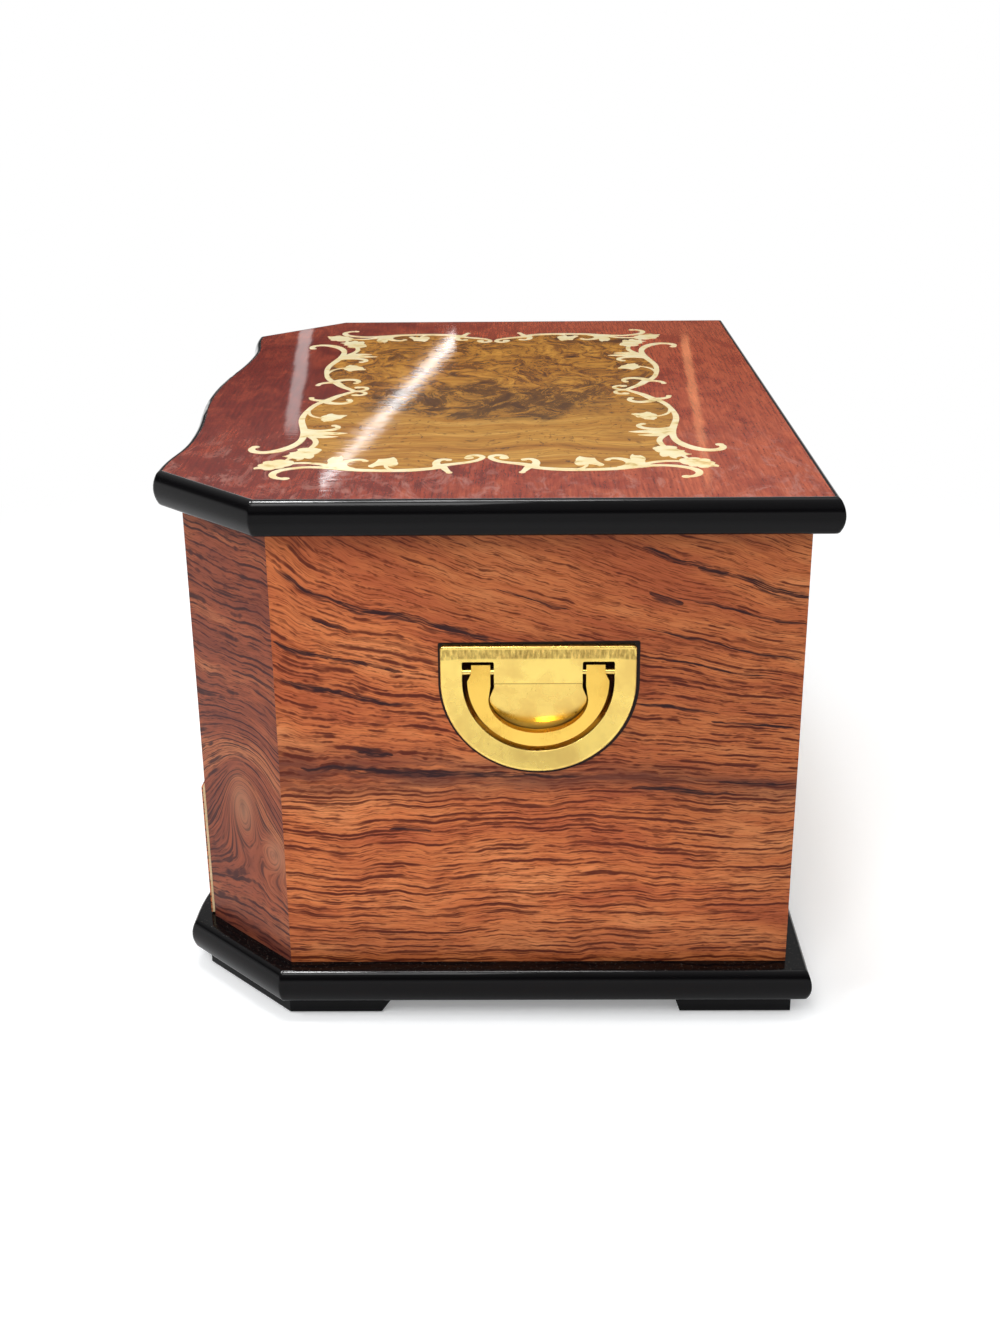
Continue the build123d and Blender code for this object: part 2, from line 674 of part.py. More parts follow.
def d_shape(radius, top, corner=0):
    """D with its half circle below the middle and its flat side at v = top"""
    bow = RadiusArc((-radius, 0), (radius, 0), radius)
    if (bow @ 0.5).Y > 0:
        bow = RadiusArc((-radius, 0), (radius, 0), -radius)
    if corner:
        sides = Polyline((radius, 0), (radius, top - corner))
        left = Line((-radius, top - corner), (-radius, 0))
        flat = Line((radius - corner, top), (corner - radius, top))
        bends = [TangentArc(sides @ 1, flat @ 0, tangent=(0, 1)),
                 TangentArc(flat @ 1, left @ 0, tangent=(-1, 0))]
        return make_face(Curve() + [bow, sides, flat, left] + bends)
    return make_face(Curve() + [bow, Polyline((radius, 0), (radius, top), (-radius, top), (-radius, 0))])


def lower_part(face, reach, top):
    """The part of a face that lies below v = top"""
    return face & (Pos(0, top - reach) * Rectangle(4 * reach, 2 * reach))


def cup_shape(top_half, half, top, reach):
    """Face that widens downwards from its top and ends in half an oval at v = -reach"""
    oval = lower_part(Pos(0, -cup_bend) * Ellipse(half, reach - cup_bend), 2 * reach, -cup_bend)
    mouth = Polyline((-top_half, top), (top_half, top), (half, -cup_bend), (-half, -cup_bend), close=True)
    return make_face(mouth) + oval


def on_wall(face, depth0, depth1):
    """Extrude a face drawn on the wall from one height above the wall to another"""
    low, high = min(depth0, depth1), max(depth0, depth1)
    plane = wall_plane.offset(low)
    return extrude(plane * face, amount=high - low, dir=(1, 0, 0))


def handle_pocket():
    """Pocket in the side wall for the handle's pan, with its screw holes"""
    reach = pan_radius + pan_wall + pocket_play
    pocket = on_wall(d_shape(reach, pan_top + pan_wall + pocket_play),
                     -pan_depth - pan_floor - pocket_play, wall)
    for y, z in handle_screw_places():
        inside = half_width - wall
        pocket += cylinder_x(handle_screw_radius + screw_play, inside - 1, half_width, y, z)
        pocket += cylinder_x(handle_screw_head + screw_play, inside - 1,
                             inside + handle_screw_head_height + fit_play, y, z)
    return pocket


def handle_screw_places():
    """Y and Z of the two screws that hold a handle plate"""
    return [(handle_y + side * handle_screw_spread, handle_z + handle_screw_up) for side in (-1, 1)]


def make_handle():
    """Right-hand plate, bail, pins and screws"""
    half = plate_width / 2
    top = plate_straight
    plate = on_wall(d_shape(half, top, plate_corner), 0, rim_height)
    face_x = half_width + rim_height
    plate = fillet([e for e in plate.edges() if abs(e.center().X - face_x) < fit_play], rim_round)
    upper = wall_plane.offset(rim_height) * d_shape(half - rim_edge, top - rim_edge)
    lower = wall_plane.offset(field_height) * d_shape(half - rim_edge - side_slope,
                                                      top - rim_edge - top_slope)
    plate -= loft([upper, lower], ruled=True)
    pan = on_wall(d_shape(pan_radius + pan_wall, pan_top + pan_wall), -pan_depth - pan_floor, field_height)
    plate += pan
    island = Pos(0, (pan_top + island_step) / 2) * Rectangle(2 * island_half, pan_top - island_step)
    recess = d_shape(pan_radius, pan_top) - island - cup_shape(island_half, cup_half, island_step, cup_drop)
    recess = fillet([v for v in recess.vertices() if abs(v.Y - pan_top) < fit_play], slot_corner)
    plate -= on_wall(recess, -pan_depth, rim_height + 1)
    slope_foot = -cup_drop - fit_play
    drop_rate = ramp_drop / (ramp_top - slope_foot)
    past = 1.0
    ramp = Polyline((field_height, ramp_top), (field_height + 1, ramp_top),
                    (field_height + 1, slope_foot - past),
                    (field_height - ramp_drop - past * drop_rate, slope_foot - past), close=True)
    ramp = make_face(Plane(origin=(half_width, handle_y, handle_z), x_dir=(1, 0, 0), z_dir=(0, -1, 0)) * ramp)
    plate -= extrude(ramp, amount=cup_half + fit_play, both=True)
    pin_x = half_width - bail_depth
    pin_z = handle_z + bail_pivot
    pins, bail_cut = [], None
    for side in (-1, 1):
        near = handle_y + side * (island_half - pin_bite)
        away = handle_y + side * (pan_radius + pin_bite)
        pins.append(cylinder_y(handle_pin_radius, pin_x, near, away, pin_z))
        plate -= cylinder_y(handle_pin_radius + screw_play, pin_x, near, away, pin_z)
    for y, z in handle_screw_places():
        inside = half_width - wall
        tip = inside + handle_screw_head_height + handle_screw_grip + wall - pan_depth - pan_floor
        plate -= cylinder_x(handle_screw_radius + screw_play, inside, min(tip, half_width), y, z)
    bail = make_bail()
    for side in (-1, 1):
        bail -= cylinder_y(handle_pin_radius + pin_play, pin_x, handle_y + side * island_half / 2,
                           handle_y + side * (pan_radius + pan_wall), pin_z)
    screws = []
    for y, z in handle_screw_places():
        inside = half_width - wall + fit_play
        head = cylinder_x(handle_screw_head, inside, inside + handle_screw_head_height, y, z)
        grip = inside + handle_screw_head_height + handle_screw_grip
        shank = cylinder_x(handle_screw_radius, inside, grip, y, z)
        slot = Pos(inside, y, z) * Box(2 * slot_depth, 3 * handle_screw_head, slot_width)
        screws.append(head + shank - slot)
    return plate, bail, pins, screws


def make_bail():
    """D-shaped pull with two arms and rounded pivots"""
    middle_height = -bail_depth
    low, high = middle_height - bail_thickness / 2, middle_height + bail_thickness / 2
    outer = lower_part(Circle(bail_radius), bail_radius, 0)
    top = bail_pivot + bail_heel
    arm_outer = make_face(Polyline((-bail_radius, 0), (-bail_top_half, bail_pivot), (-bail_top_half, top),
                                   (bail_top_half, top), (bail_top_half, bail_pivot),
                                   (bail_radius, 0), close=True))
    hole = cup_shape(bail_inner_half, bail_inner_wide, bail_shoulder, bail_inner_reach)
    gap = Pos(0, (top + bail_shoulder) / 2 + 1) * Rectangle(2 * bail_inner_half, top - bail_shoulder + 2)
    ring = outer + arm_outer - hole - gap
    bail = on_wall(ring, low, high)
    heel = make_face(Polyline((low, bail_pivot), (low, top + 1), (low + bail_thickness / 2, top + 1),
                              (low + bail_thickness / 2, top), close=True))
    bend = Pos(middle_height, bail_pivot) * Circle(bail_heel)
    corner = Pos(low + bail_thickness / 4, top) * Rectangle(bail_thickness / 2, 2 * bail_heel)
    side_plane = Plane(origin=(half_width, handle_y, handle_z), x_dir=(1, 0, 0), z_dir=(0, -1, 0))
    above = Pos(low + bail_thickness / 4, bail_pivot + bail_heel) * Rectangle(bail_thickness / 2, 2 * bail_heel)
    sharp = above - bend
    bail -= extrude(side_plane * sharp, amount=bail_radius + 1, both=True)
    return bail


def make_handles():
    """Handles of both sides"""
    plate, bail, pins, screws = make_handle()
    return {"handle_plate_right": plate, "handle_plate_left": mirrored(plate),
            "bail_right": bail, "bail_left": mirrored(bail),
            "handle_pins": group(pins + [mirrored(pin) for pin in pins]),
            "handle_screws": group(screws + [mirrored(screw) for screw in screws])}


# Lid
def make_lid():
    """Lid board, the sheets laid into its top, and the mirror board under it"""
    parts = {}
    board = nosed_board(lid_z, lid_thickness - inlay_thickness)
    sheet_top = lid_top - inlay_thickness
    sheet_z = sheet_top - veneer
    outline = top_outline(nose_depth + rim)
    sheet = prism(outline, sheet_z, sheet_top)
    board -= prism(outline, sheet_z, sheet_top + 1)
    y, z = hinge_axis()
    for x in hinge_places():
        half = hinge_length / 2 + fit_play
        board -= box(x - half, x + half, back_y - leaf_reach - fit_play, y, lid_z - 1, lid_z + leaf_thickness)
        board -= cylinder_x(knuckle_radius + knuckle_room, x - half, x + half, y, z)
        for sx in screw_places(x):
            board -= screw_hole(sx, lid_z)
    parts["lid_board"] = board
    burl = prism(burl_outline(), sheet_z, sheet_top)
    parts["lid_border_veneer"] = sheet - burl
    close = 1 - saw_line / panel_edge[0][0]
    parts["lid_burl_veneer"] = Pos(0, 0, sheet_z) * scale(Pos(0, 0, -sheet_z) * burl, by=(close, close, 1))
    quarter = Pos(0, 0, sheet_top) * extrude(scroll_quarter(), amount=inlay_thickness, dir=up)
    across = mirror(quarter, about=Plane.YZ)
    front = [mirror(one, about=Plane.XZ) for one in (quarter, across)]
    parts["lid_scroll_inlay"] = group([quarter, across] + front)
    pad = plan(wall + box_lining + lid_lining_play)
    pad[0] = (pad[0][0], deck_front_y + box_lining + lid_lining_play)
    pad[5] = (-pad[0][0], pad[0][1])
    pad[2] = (pad[2][0], inner_back_y - box_lining - lid_lining_play)
    pad[3] = (-pad[2][0], pad[2][1])
    lining_board = prism(pad, lid_z - lid_lining_thickness, lid_z)
    half_w, half_d = mirror_width / 2, mirror_depth / 2
    middle = (deck_front_y + inner_back_y) / 2
    play = mirror_play
    lining_board -= box(-half_w - play, half_w + play, middle - half_d - play, middle + half_d + play,
                        lid_z - lid_lining_thickness - 1, lid_z + 1)
    parts["lid_lining"] = lining_board
    parts["lid_mirror"] = box(-half_w, half_w, middle - half_d, middle + half_d,
                              lid_z - lid_lining_thickness, lid_z)
    low = lid_z - lid_lining_thickness - frame_thickness
    outer_w, outer_d = half_w + frame_width - frame_lap, half_d + frame_width - frame_lap
    frame = box(-outer_w, outer_w, middle - outer_d, middle + outer_d, low, low + frame_thickness)
    frame -= box(frame_lap - half_w, half_w - frame_lap, middle - half_d + frame_lap,
                 middle + half_d - frame_lap, low - 1, low + frame_thickness + 1)
    rim_edges = [e for e in frame.edges().filter_by(Plane.XY) if abs(e.center().Z - low) < fit_play]
    parts["mirror_frame"] = chamfer(rim_edges, frame_thickness / 2)
    return parts


# Compartment under the lid
def make_compartment():
    """Lining, dividers and padded ring rolls"""
    parts = {}
    z0 = second_tier + deck / 2
    shell = prism(deck_outline(), z0, wall_top - box_lining_drop)
    inside = inset_outline(box_lining)
    parts["compartment_lining"] = shell - prism(inside, z0 + box_lining, wall_top)
    floor = z0 + box_lining
    front, back = inside[0][1], inner_back_y - box_lining
    side = inner_side_x - box_lining
    wall_x = side - side_section
    top = floor + box_divider_height
    half = box_divider / 2
    bars = []
    for x in (-wall_x, wall_x):
        bars.append(box(x - half, x + half, front, back, floor, top))
    cross_y = back - 2 * roll_play - roll_count * (roll_width + roll_gap) - half
    for sign in (-1, 1):
        bars.append(box(sign * (wall_x + half), sign * side, cross_y - half, cross_y + half, floor, top))
    parts["compartment_dividers"] = group(bars)
    rolls = []
    x0, x1 = -side + roll_play, -wall_x - half - roll_play
    for i in range(roll_count):
        y = cross_y + half + roll_play + roll_gap / 2 + roll_width / 2 + i * (roll_width + roll_gap)
        rolls.append(ring_roll(x0, x1, y, floor + slide_play))
    parts["ring_rolls"] = group(rolls)
    return parts


def inset_outline(inset):
    """Deck outline moved inwards"""
    corner = half_width - cut_y - wall * sqrt(2) - inset * sqrt(2)
    y0 = deck_front_y + inset
    y1 = plan(wall + inset)[1][1]
    side = inner_side_x - inset
    right = [(corner + y0, y0), (side, y1), (side, inner_back_y - inset)]
    return right + [(-x, y) for x, y in reversed(right)]


def ring_roll(x0, x1, y, z):
    """Padded roll along X: flat under, crowned over, drawn in at its ends"""
    def section(x, size):
        half = roll_width / 2 * size
        tall = roll_height * size
        foot, shoulder = half * 0.72, half * 0.78
        base = Line((-foot, 0), (foot, 0))
        right = ThreePointArc((foot, 0), (half, tall * 0.42), (shoulder, tall * 0.82))
        crown = ThreePointArc((shoulder, tall * 0.82), (0, tall), (-shoulder, tall * 0.82))
        left = ThreePointArc((-shoulder, tall * 0.82), (-half, tall * 0.42), (-foot, 0))
        place = Plane(origin=(x, y, z), x_dir=(0, 1, 0), z_dir=(1, 0, 0))
        return place * make_face(Curve() + [base, right, crown, left])

    full_in = roll_end
    middle = extrude(section(x0 + full_in, 1.0), amount=x1 - x0 - 2 * full_in, dir=(1, 0, 0))
    near = loft([section(x0, 0.76), section(x0 + full_in / 3, 0.91), section(x0 + full_in, 1.0)])
    away = loft([section(x1 - full_in, 1.0), section(x1 - full_in / 3, 0.91), section(x1, 0.76)])
    return middle + near + away


# Drawers
def make_drawer(name, level, low, high, ceiling, pull):
    """One drawer; level is what it slides on, low and high are its front's edges"""
    parts = {}
    shift = Pos(0, -pull, 0)
    face_y = front_y + set_back
    half = opening_half - side_gap
    back_of_front = face_y + front_thickness
    front = wave_band(face_y + veneer, back_of_front, half, low, high)
    box_half = opening_half - drawer_play
    z0, z1 = level + slide_play, ceiling - drawer_drop
    end_y = inner_back_y - stop_depth - stop_play
    bottom_z = z0 + bottom_rise
    inner_half = box_half - drawer_side
    groove_half = inner_half + groove
    channel = box(-groove_half, groove_half, back_of_front - groove, end_y + 1,
                  bottom_z - fit_play, bottom_z + bottom_thickness)
    for x in (-hollow_x, hollow_x):
        middle = (low + high) / 2
        front -= cylinder_y(knob_screw_radius + fit_play, x, face_y - 1, back_of_front + 1, middle)
        front -= cylinder_y(knob_screw_head_radius + screw_play, x,
                            back_of_front - knob_screw_head_height - fit_play, back_of_front + 1, middle)
        front -= cylinder_y(knob_base_radius + fit_play, x, face_y - 1,
                            face_y + hollow_in + knob_sink, middle)
    parts["front"] = front - channel
    skin = wave_band(face_y, face_y + veneer, half, low, high)
    for x in (-hollow_x, hollow_x):
        skin -= cylinder_y(knob_base_radius + fit_play, x, face_y - 1,
                           face_y + hollow_in + veneer + 1, (low + high) / 2)
    parts["front_veneer"] = skin
    side = box(inner_half, box_half, back_of_front, end_y, z0, z1) - channel
    parts["sides"] = group([side, mirrored(side)])
    parts["back"] = box(-inner_half, inner_half, end_y - drawer_side, end_y,
                        bottom_z + bottom_thickness, z1)
    parts["bottom"] = box(fit_play - groove_half, groove_half - fit_play,
                          back_of_front - groove + fit_play, end_y, bottom_z, bottom_z + bottom_thickness)
    cup = (bottom_z + bottom_thickness, z1 - lining_drop)
    y0, y1 = back_of_front, end_y - drawer_side
    shell = box(-inner_half, inner_half, y0, y1, cup[0], cup[1])
    shell -= box(lining - inner_half, inner_half - lining, y0 + lining, y1 - lining,
                 cup[0] + lining, cup[1] + 1)
    parts["lining"] = shell
    if name == "upper_drawer":
        bars = []
        third = (2 * (inner_half - lining) - 2 * divider) / 3
        for sign in (-1, 1):
            x = sign * (third / 2 + divider / 2)
            bars.append(box(x - divider / 2, x + divider / 2, y0 + lining, y1 - lining,
                            cup[0] + lining, cup[0] + lining + divider_height))
        parts["dividers"] = group(bars)
    seat_y = face_y + hollow_in + knob_sink
    knobs, screws = [], []
    for x in (-hollow_x, hollow_x):
        knobs.append(knob(x, seat_y, (low + high) / 2))
        head_end = back_of_front - fit_play
        head = cylinder_y(knob_screw_head_radius, x, head_end - knob_screw_head_height, head_end,
                          (low + high) / 2)
        shank = cylinder_y(knob_screw_radius, x, seat_y - knob_screw_grip, head_end, (low + high) / 2)
        slot = Pos(x, head_end, (low + high) / 2) * Box(3 * knob_screw_head_radius, 2 * slot_depth, slot_width)
        screws.append(head + shank - slot)
    parts["knobs"] = group(knobs)
    parts["knob_screws"] = group(screws)
    moved = {key: [shift * solid for solid in part.solids()] for key, part in parts.items()}
    return {name + "_" + key: group(solids) if len(solids) > 1 else solids[0]
            for key, solids in moved.items()}


def knob(x, y, z):
    """Turned knob: a low base, a waisted neck and a domed head; bored for its screw"""
    base = knob_sink + knob_base_height
    reach = knob_sink + knob_reach
    rise = reach - base
    collar = knob_base_radius * 0.85
    under = knob_head_radius * 0.72
    stem = Polyline((0, reach), (0, 0), (knob_base_radius, 0), (knob_base_radius, base), (collar, base))
    neck = ThreePointArc((collar, base), (knob_neck_radius, base + rise * 0.22),
                         (under, base + rise * 0.44))
    cheek = ThreePointArc((under, base + rise * 0.44), (knob_head_radius * 0.95, base + rise * 0.54),
                          (knob_head_radius, base + rise * 0.68))
    dome = TangentArc((0, reach), (knob_head_radius, base + rise * 0.68), tangent=(1, 0))
    turned = revolve(make_face(Curve() + [stem, neck, cheek, dome]), axis=Axis.Y)
    bore = Rot(90, 0, 0) * Cylinder(knob_screw_radius + screw_play, 2 * knob_screw_grip + 2 * fit_play)
    return Pos(x, y, z) * Rot(180, 45, 0) * (turned - bore)


parts = make_case()
parts.update(make_hinges())
parts.update(make_handles())
parts.update(make_lid())
parts.update(make_compartment())
parts.update(make_drawer("upper_drawer", first_tier + deck / 2, first_tier + front_gap,
                         second_tier - front_gap, second_tier - deck / 2, 0.0))
parts.update(make_drawer("lower_drawer", floor_z, floor_z + front_gap, first_tier - front_gap,
                         first_tier - deck / 2, lower_drawer_pull))

os.makedirs("parts", exist_ok=True)
for name, shape in parts.items():
    export_step(shape, "parts/" + name + ".step")
print(len(parts), "nodes")
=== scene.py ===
"""Jewelry chest with an inlaid lid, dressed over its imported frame. Metres, Z up, front at -Y."""
import logging
import math
from dataclasses import dataclass, field
from enum import Enum

import bpy
from mathutils import Matrix, Vector


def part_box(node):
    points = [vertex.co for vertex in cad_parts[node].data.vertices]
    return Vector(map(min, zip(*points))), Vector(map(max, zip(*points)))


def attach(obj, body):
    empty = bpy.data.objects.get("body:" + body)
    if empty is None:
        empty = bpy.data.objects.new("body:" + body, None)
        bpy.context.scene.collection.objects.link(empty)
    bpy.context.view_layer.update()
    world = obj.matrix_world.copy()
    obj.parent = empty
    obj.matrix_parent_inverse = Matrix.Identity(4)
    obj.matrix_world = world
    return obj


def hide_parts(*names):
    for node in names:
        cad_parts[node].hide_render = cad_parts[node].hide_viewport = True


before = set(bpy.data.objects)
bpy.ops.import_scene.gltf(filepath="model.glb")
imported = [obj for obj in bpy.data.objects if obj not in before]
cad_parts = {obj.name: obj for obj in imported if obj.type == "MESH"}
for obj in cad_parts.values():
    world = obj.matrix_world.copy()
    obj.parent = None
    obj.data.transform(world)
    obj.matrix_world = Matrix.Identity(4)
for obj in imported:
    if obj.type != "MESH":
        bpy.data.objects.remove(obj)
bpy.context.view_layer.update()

log = logging.getLogger("chest")
Socket = bpy.types.NodeSocket
Colour = tuple[float, float, float]
WHITE = (1.0, 1.0, 1.0)


class Way(Enum):
    """Direction in which the fibres of a plain board run."""

    WIDE = (0.02, 1.0, 1.0)
    DEEP = (1.0, 0.02, 1.0)
    TALL = (1.0, 1.0, 0.02)


class Bench:
    """Lays out and joins the shader nodes of one finish, or of the world.

    Attributes:
        holder: the material or world.
        tree: its node tree.
        place: coordinates, for a material in millimetres.
        x, y, z: parts of the coordinates.
    """

    def __init__(self, holder: bpy.types.Material | bpy.types.World, coords: str = "Object",
                 scale: float = 1000.0) -> None:
        """Clear the node tree and lay out its coordinates.

        Args:
            holder: new material or world.
            coords: kind of coordinates.
            scale: factor on them.
        """
        self.holder = holder
        holder.use_nodes = True
        self.tree = holder.node_tree
        self.tree.nodes.clear()
        self.place = self.vector("SCALE", self.node("TexCoord").outputs[coords], scale=scale)
        parts = self.node("SeparateXYZ")
        self.put(parts.inputs[0], self.place)
        self.x, self.y, self.z = parts.outputs[:3]

    def node(self, kind: str, **settings: object) -> bpy.types.Node:
        """Add a node.

        Args:
            kind: node type without its "ShaderNode" prefix.
            settings: properties to set on it.

        Returns:
            The new node.
        """
        made = self.tree.nodes.new("ShaderNode" + kind)
        for key, value in settings.items():
            setattr(made, key, value)
        return made

    def put(self, socket: Socket, value: object) -> None:
        """Link a socket or set its constant.

        Args:
            socket: the input.
            value: an output socket, or a number, colour or vector.
        """
        if value is None:
            return
        if isinstance(value, bpy.types.NodeSocket):
            self.tree.links.new(value, socket)
        elif socket.type == "RGBA" and len(value) == 3:
            socket.default_value = (*value, 1.0)
        else:
            socket.default_value = value

    def add(self, kind: str, *values: object, **settings: object) -> Socket:
        """Add a node and fill its inputs.

        Args:
            kind: node type without its "ShaderNode" prefix.
            values: its inputs in their order, None for one left as it is.
            settings: properties to set on it.

        Returns:
            Its first output.
        """
        made = self.node(kind, **settings)
        for socket, value in zip(made.inputs, values):
            self.put(socket, value)
        return made.outputs[0]

    def math(self, how: str, *values: object, clamp: bool = False) -> Socket:
        """Join up to three values by a math node."""
        return self.add("Math", *values, operation=how, use_clamp=clamp)

    def vector(self, how: str, a: object, b: object = None, scale: object = None) -> Socket:
        """Join vectors by a vector math node.

        Args:
            how: operation.
            a: first vector.
            b: second vector.
            scale: factor for SCALE.

        Returns:
            The resulting vector, or the number for LENGTH.
        """
        made = self.node("VectorMath", operation=how)
        self.put(made.inputs[0], a)
        self.put(made.inputs[1], b)
        self.put(made.inputs[3], scale)
        return made.outputs["Value" if how == "LENGTH" else "Vector"]

    def plus(self, a: object, b: object, clamp: bool = False) -> Socket:
        """Add two values."""
        return self.math("ADD", a, b, clamp=clamp)

    def minus(self, a: object, b: object, clamp: bool = False) -> Socket:
        """Take the second value from the first."""
        return self.math("SUBTRACT", a, b, clamp=clamp)

    def times(self, a: object, b: object) -> Socket:
        """Multiply two values."""
        return self.math("MULTIPLY", a, b)

    def off(self, value: object, middle: object) -> Socket:
        """Distance between two values."""
        return self.math("ABSOLUTE", self.minus(value, middle))

    def hill(self, value: Socket) -> Socket:
        """Bell curve: 1 where the value is 0, falling to 0."""
        return self.math("EXPONENT", self.times(self.times(value, value), -1.0))

    def length(self, a: Socket, b: Socket) -> Socket:
        """Length of a line from its two parts."""
        return self.math("SQRT", self.plus(self.times(a, a), self.times(b, b)))

    def join(self, x: object, y: object, z: object) -> Socket:
        """Make a vector from its three parts."""
        return self.add("CombineXYZ", x, y, z)

    def rays(self) -> tuple[Socket, Socket]:
        """Tell rays apart.

        Returns:
            Whether a ray comes from the camera, and whether it comes by gloss or through glass.
        """
        path = self.node("LightPath").outputs
        gloss = self.math("MAXIMUM", path["Is Glossy Ray"], path["Is Transmission Ray"])
        return path["Is Camera Ray"], gloss

    def noise(self, vector: Socket, scales: Colour | float, detail: float = 2.0, rough: float = 0.5,
              twist: float = 0.0, seed: float = 0.0) -> Socket:
        """Noise between 0 and 1.

        Args:
            vector: coordinates.
            scales: factors for X, Y and Z of the coordinates, or one for all.
            detail: octaves beyond the first.
            rough: weight of the fine octaves.
            twist: distortion.
            seed: shift that gives another pattern.

        Returns:
            The noise value.
        """
        if isinstance(scales, float):
            scales = (scales,) * 3
        placed = self.vector("MULTIPLY", vector, scales)
        if seed:
            placed = self.vector("ADD", placed, (seed, seed * 1.7, seed * 0.6))
        made = self.node("TexNoise")
        self.put(made.inputs["Vector"], placed)
        for key, value in (("Scale", 1.0), ("Detail", detail), ("Roughness", rough),
                           ("Distortion", twist)):
            made.inputs[key].default_value = value
        return made.outputs["Fac"]

    def highest(self, values: list[Socket]) -> Socket:
        """Join masks.

        Args:
            values: the masks.

        Returns:
            The greatest of them.
        """
        result = values[0]
        for value in values[1:]:
            result = self.math("MAXIMUM", result, value)
        return result

    def swing(self, value: Socket, size: float) -> Socket:
        """Turn a noise value into a shift of that size either way."""
        return self.math("MULTIPLY_ADD", value, 2.0 * size, -size)

    def step(self, value: object, low: float, high: float, start: float = 0.0,
             end: float = 1.0) -> Socket:
        """Smooth step from start to end, while the value goes from low to high."""
        return self.add("MapRange", value, low, high, start, end, interpolation_type="SMOOTHSTEP")

    def ramp(self, value: Socket, stops: list[tuple[float, Colour]]) -> Socket:
        """Colour ramp.

        Args:
            value: input between 0 and 1.
            stops: places and colours.

        Returns:
            The colour.
        """
        made = self.node("ValToRGB")
        line = made.color_ramp
        while len(line.elements) < len(stops):
            line.elements.new(0.5)
        for element, (place, colour) in zip(line.elements, stops):
            element.position = place
            element.color = (*colour, 1.0)
        self.put(made.inputs[0], value)
        return made.outputs["Color"]

    def mix(self, share: object, a: object, b: object, how: str = "MIX") -> Socket:
        """Mix two colours.

        Args:
            share: weight of the second colour.
            a: first colour.
            b: second colour.
            how: blend mode.

        Returns:
            The mixed colour.
        """
        made = self.node("Mix", data_type="RGBA", blend_type=how)
        self.put(made.inputs["Factor"], share)
        self.put(made.inputs[6], a)
        self.put(made.inputs[7], b)
        return made.outputs[2]

    def tint(self, colour: object, value: Socket, stops: list[tuple[float, Colour]]) -> Socket:
        """Multiply a colour by a ramp's colours."""
        return self.mix(1.0, colour, self.ramp(value, stops), "MULTIPLY")

    def edges(self, radius: float, samples: int = 4) -> Socket:
        """Normal that looks as if the edges were rounded by that radius in metres."""
        return self.add("Bevel", radius, samples=samples)

    def bump(self, height: Socket, strength: float, depth: float, normal: object = None) -> Socket:
        """Bumped normal.

        Args:
            height: surface height between 0 and 1.
            strength: weight of the bump.
            depth: metres between low and high.
            normal: normal to start from.

        Returns:
            The normal.
        """
        made = self.node("Bump")
        self.put(made.inputs["Normal"], normal)
        made.inputs["Strength"].default_value = strength
        made.inputs["Distance"].default_value = depth
        self.put(made.inputs["Height"], height)
        return made.outputs[0]

    def surface(self, **values: object) -> bpy.types.Material:
        """Close the finish with a principled shader.

        Args:
            values: shader inputs, their names with underscores for blanks.

        Returns:
            The finished material.
        """
        shader = self.node("BsdfPrincipled")
        for key, value in values.items():
            self.put(shader.inputs[key.replace("_", " ")], value)
        return self.close(shader.outputs[0], "OutputMaterial")

    def close(self, shader: Socket, kind: str) -> bpy.types.Material | bpy.types.World:
        """Link the last shader to an output of that kind and hand the material or world back."""
        self.put(self.node(kind).inputs[0], shader)
        return self.holder


def coated(name: str) -> Bench:
    """Start a new material and hand its bench back."""
    return Bench(bpy.data.materials.new(name))


@dataclass(frozen=True)
class Knot:
    """A knot in the veneer, round which the grain closes.

    Attributes:
        place: its middle in millimetres.
        reach: how far it spreads along the sheet.
        height: how far it spreads up and down.
        lift: how far it pushes the growth lines, upwards where it is below zero.
        eye: how strongly its middle is coloured.
    """

    place: Colour
    reach: float
    height: float
    lift: float
    eye: float = 0.0


@dataclass(frozen=True)
class Strokes:
    """One family of grain lines.

    Attributes:
        pitch: millimetres from line to line.
        width: greatest width of a line.
        start: noise at which a line begins to show.
        full: noise at which it has its full width.
        along: how fast its width changes along the grain.
        weight: how dark it is.
        zone: heights between which it fades in and out again.
    """

    pitch: float
    width: float
    start: float
    full: float
    along: float
    weight: float = 1.0
    zone: tuple[float, float, float, float] = (-20.0, -10.0, 300.0, 310.0)


@dataclass(frozen=True)
class Streak:
    """A broad dark streak that follows the grain.

    Attributes:
        height: growth line it lies on.
        start: where it begins along the sheet.
        end: where it ends.
        width: greatest width.
    """

    height: float
    start: float
    end: float
    width: float


# Heights in millimetres between which a family of lines fades in and out again
LOWER = (-20.0, -10.0, 108.0, 124.0)
MIDDLE = (112.0, 122.0, 168.0, 185.0)
UPPER = (120.0, 165.0, 300.0, 310.0)


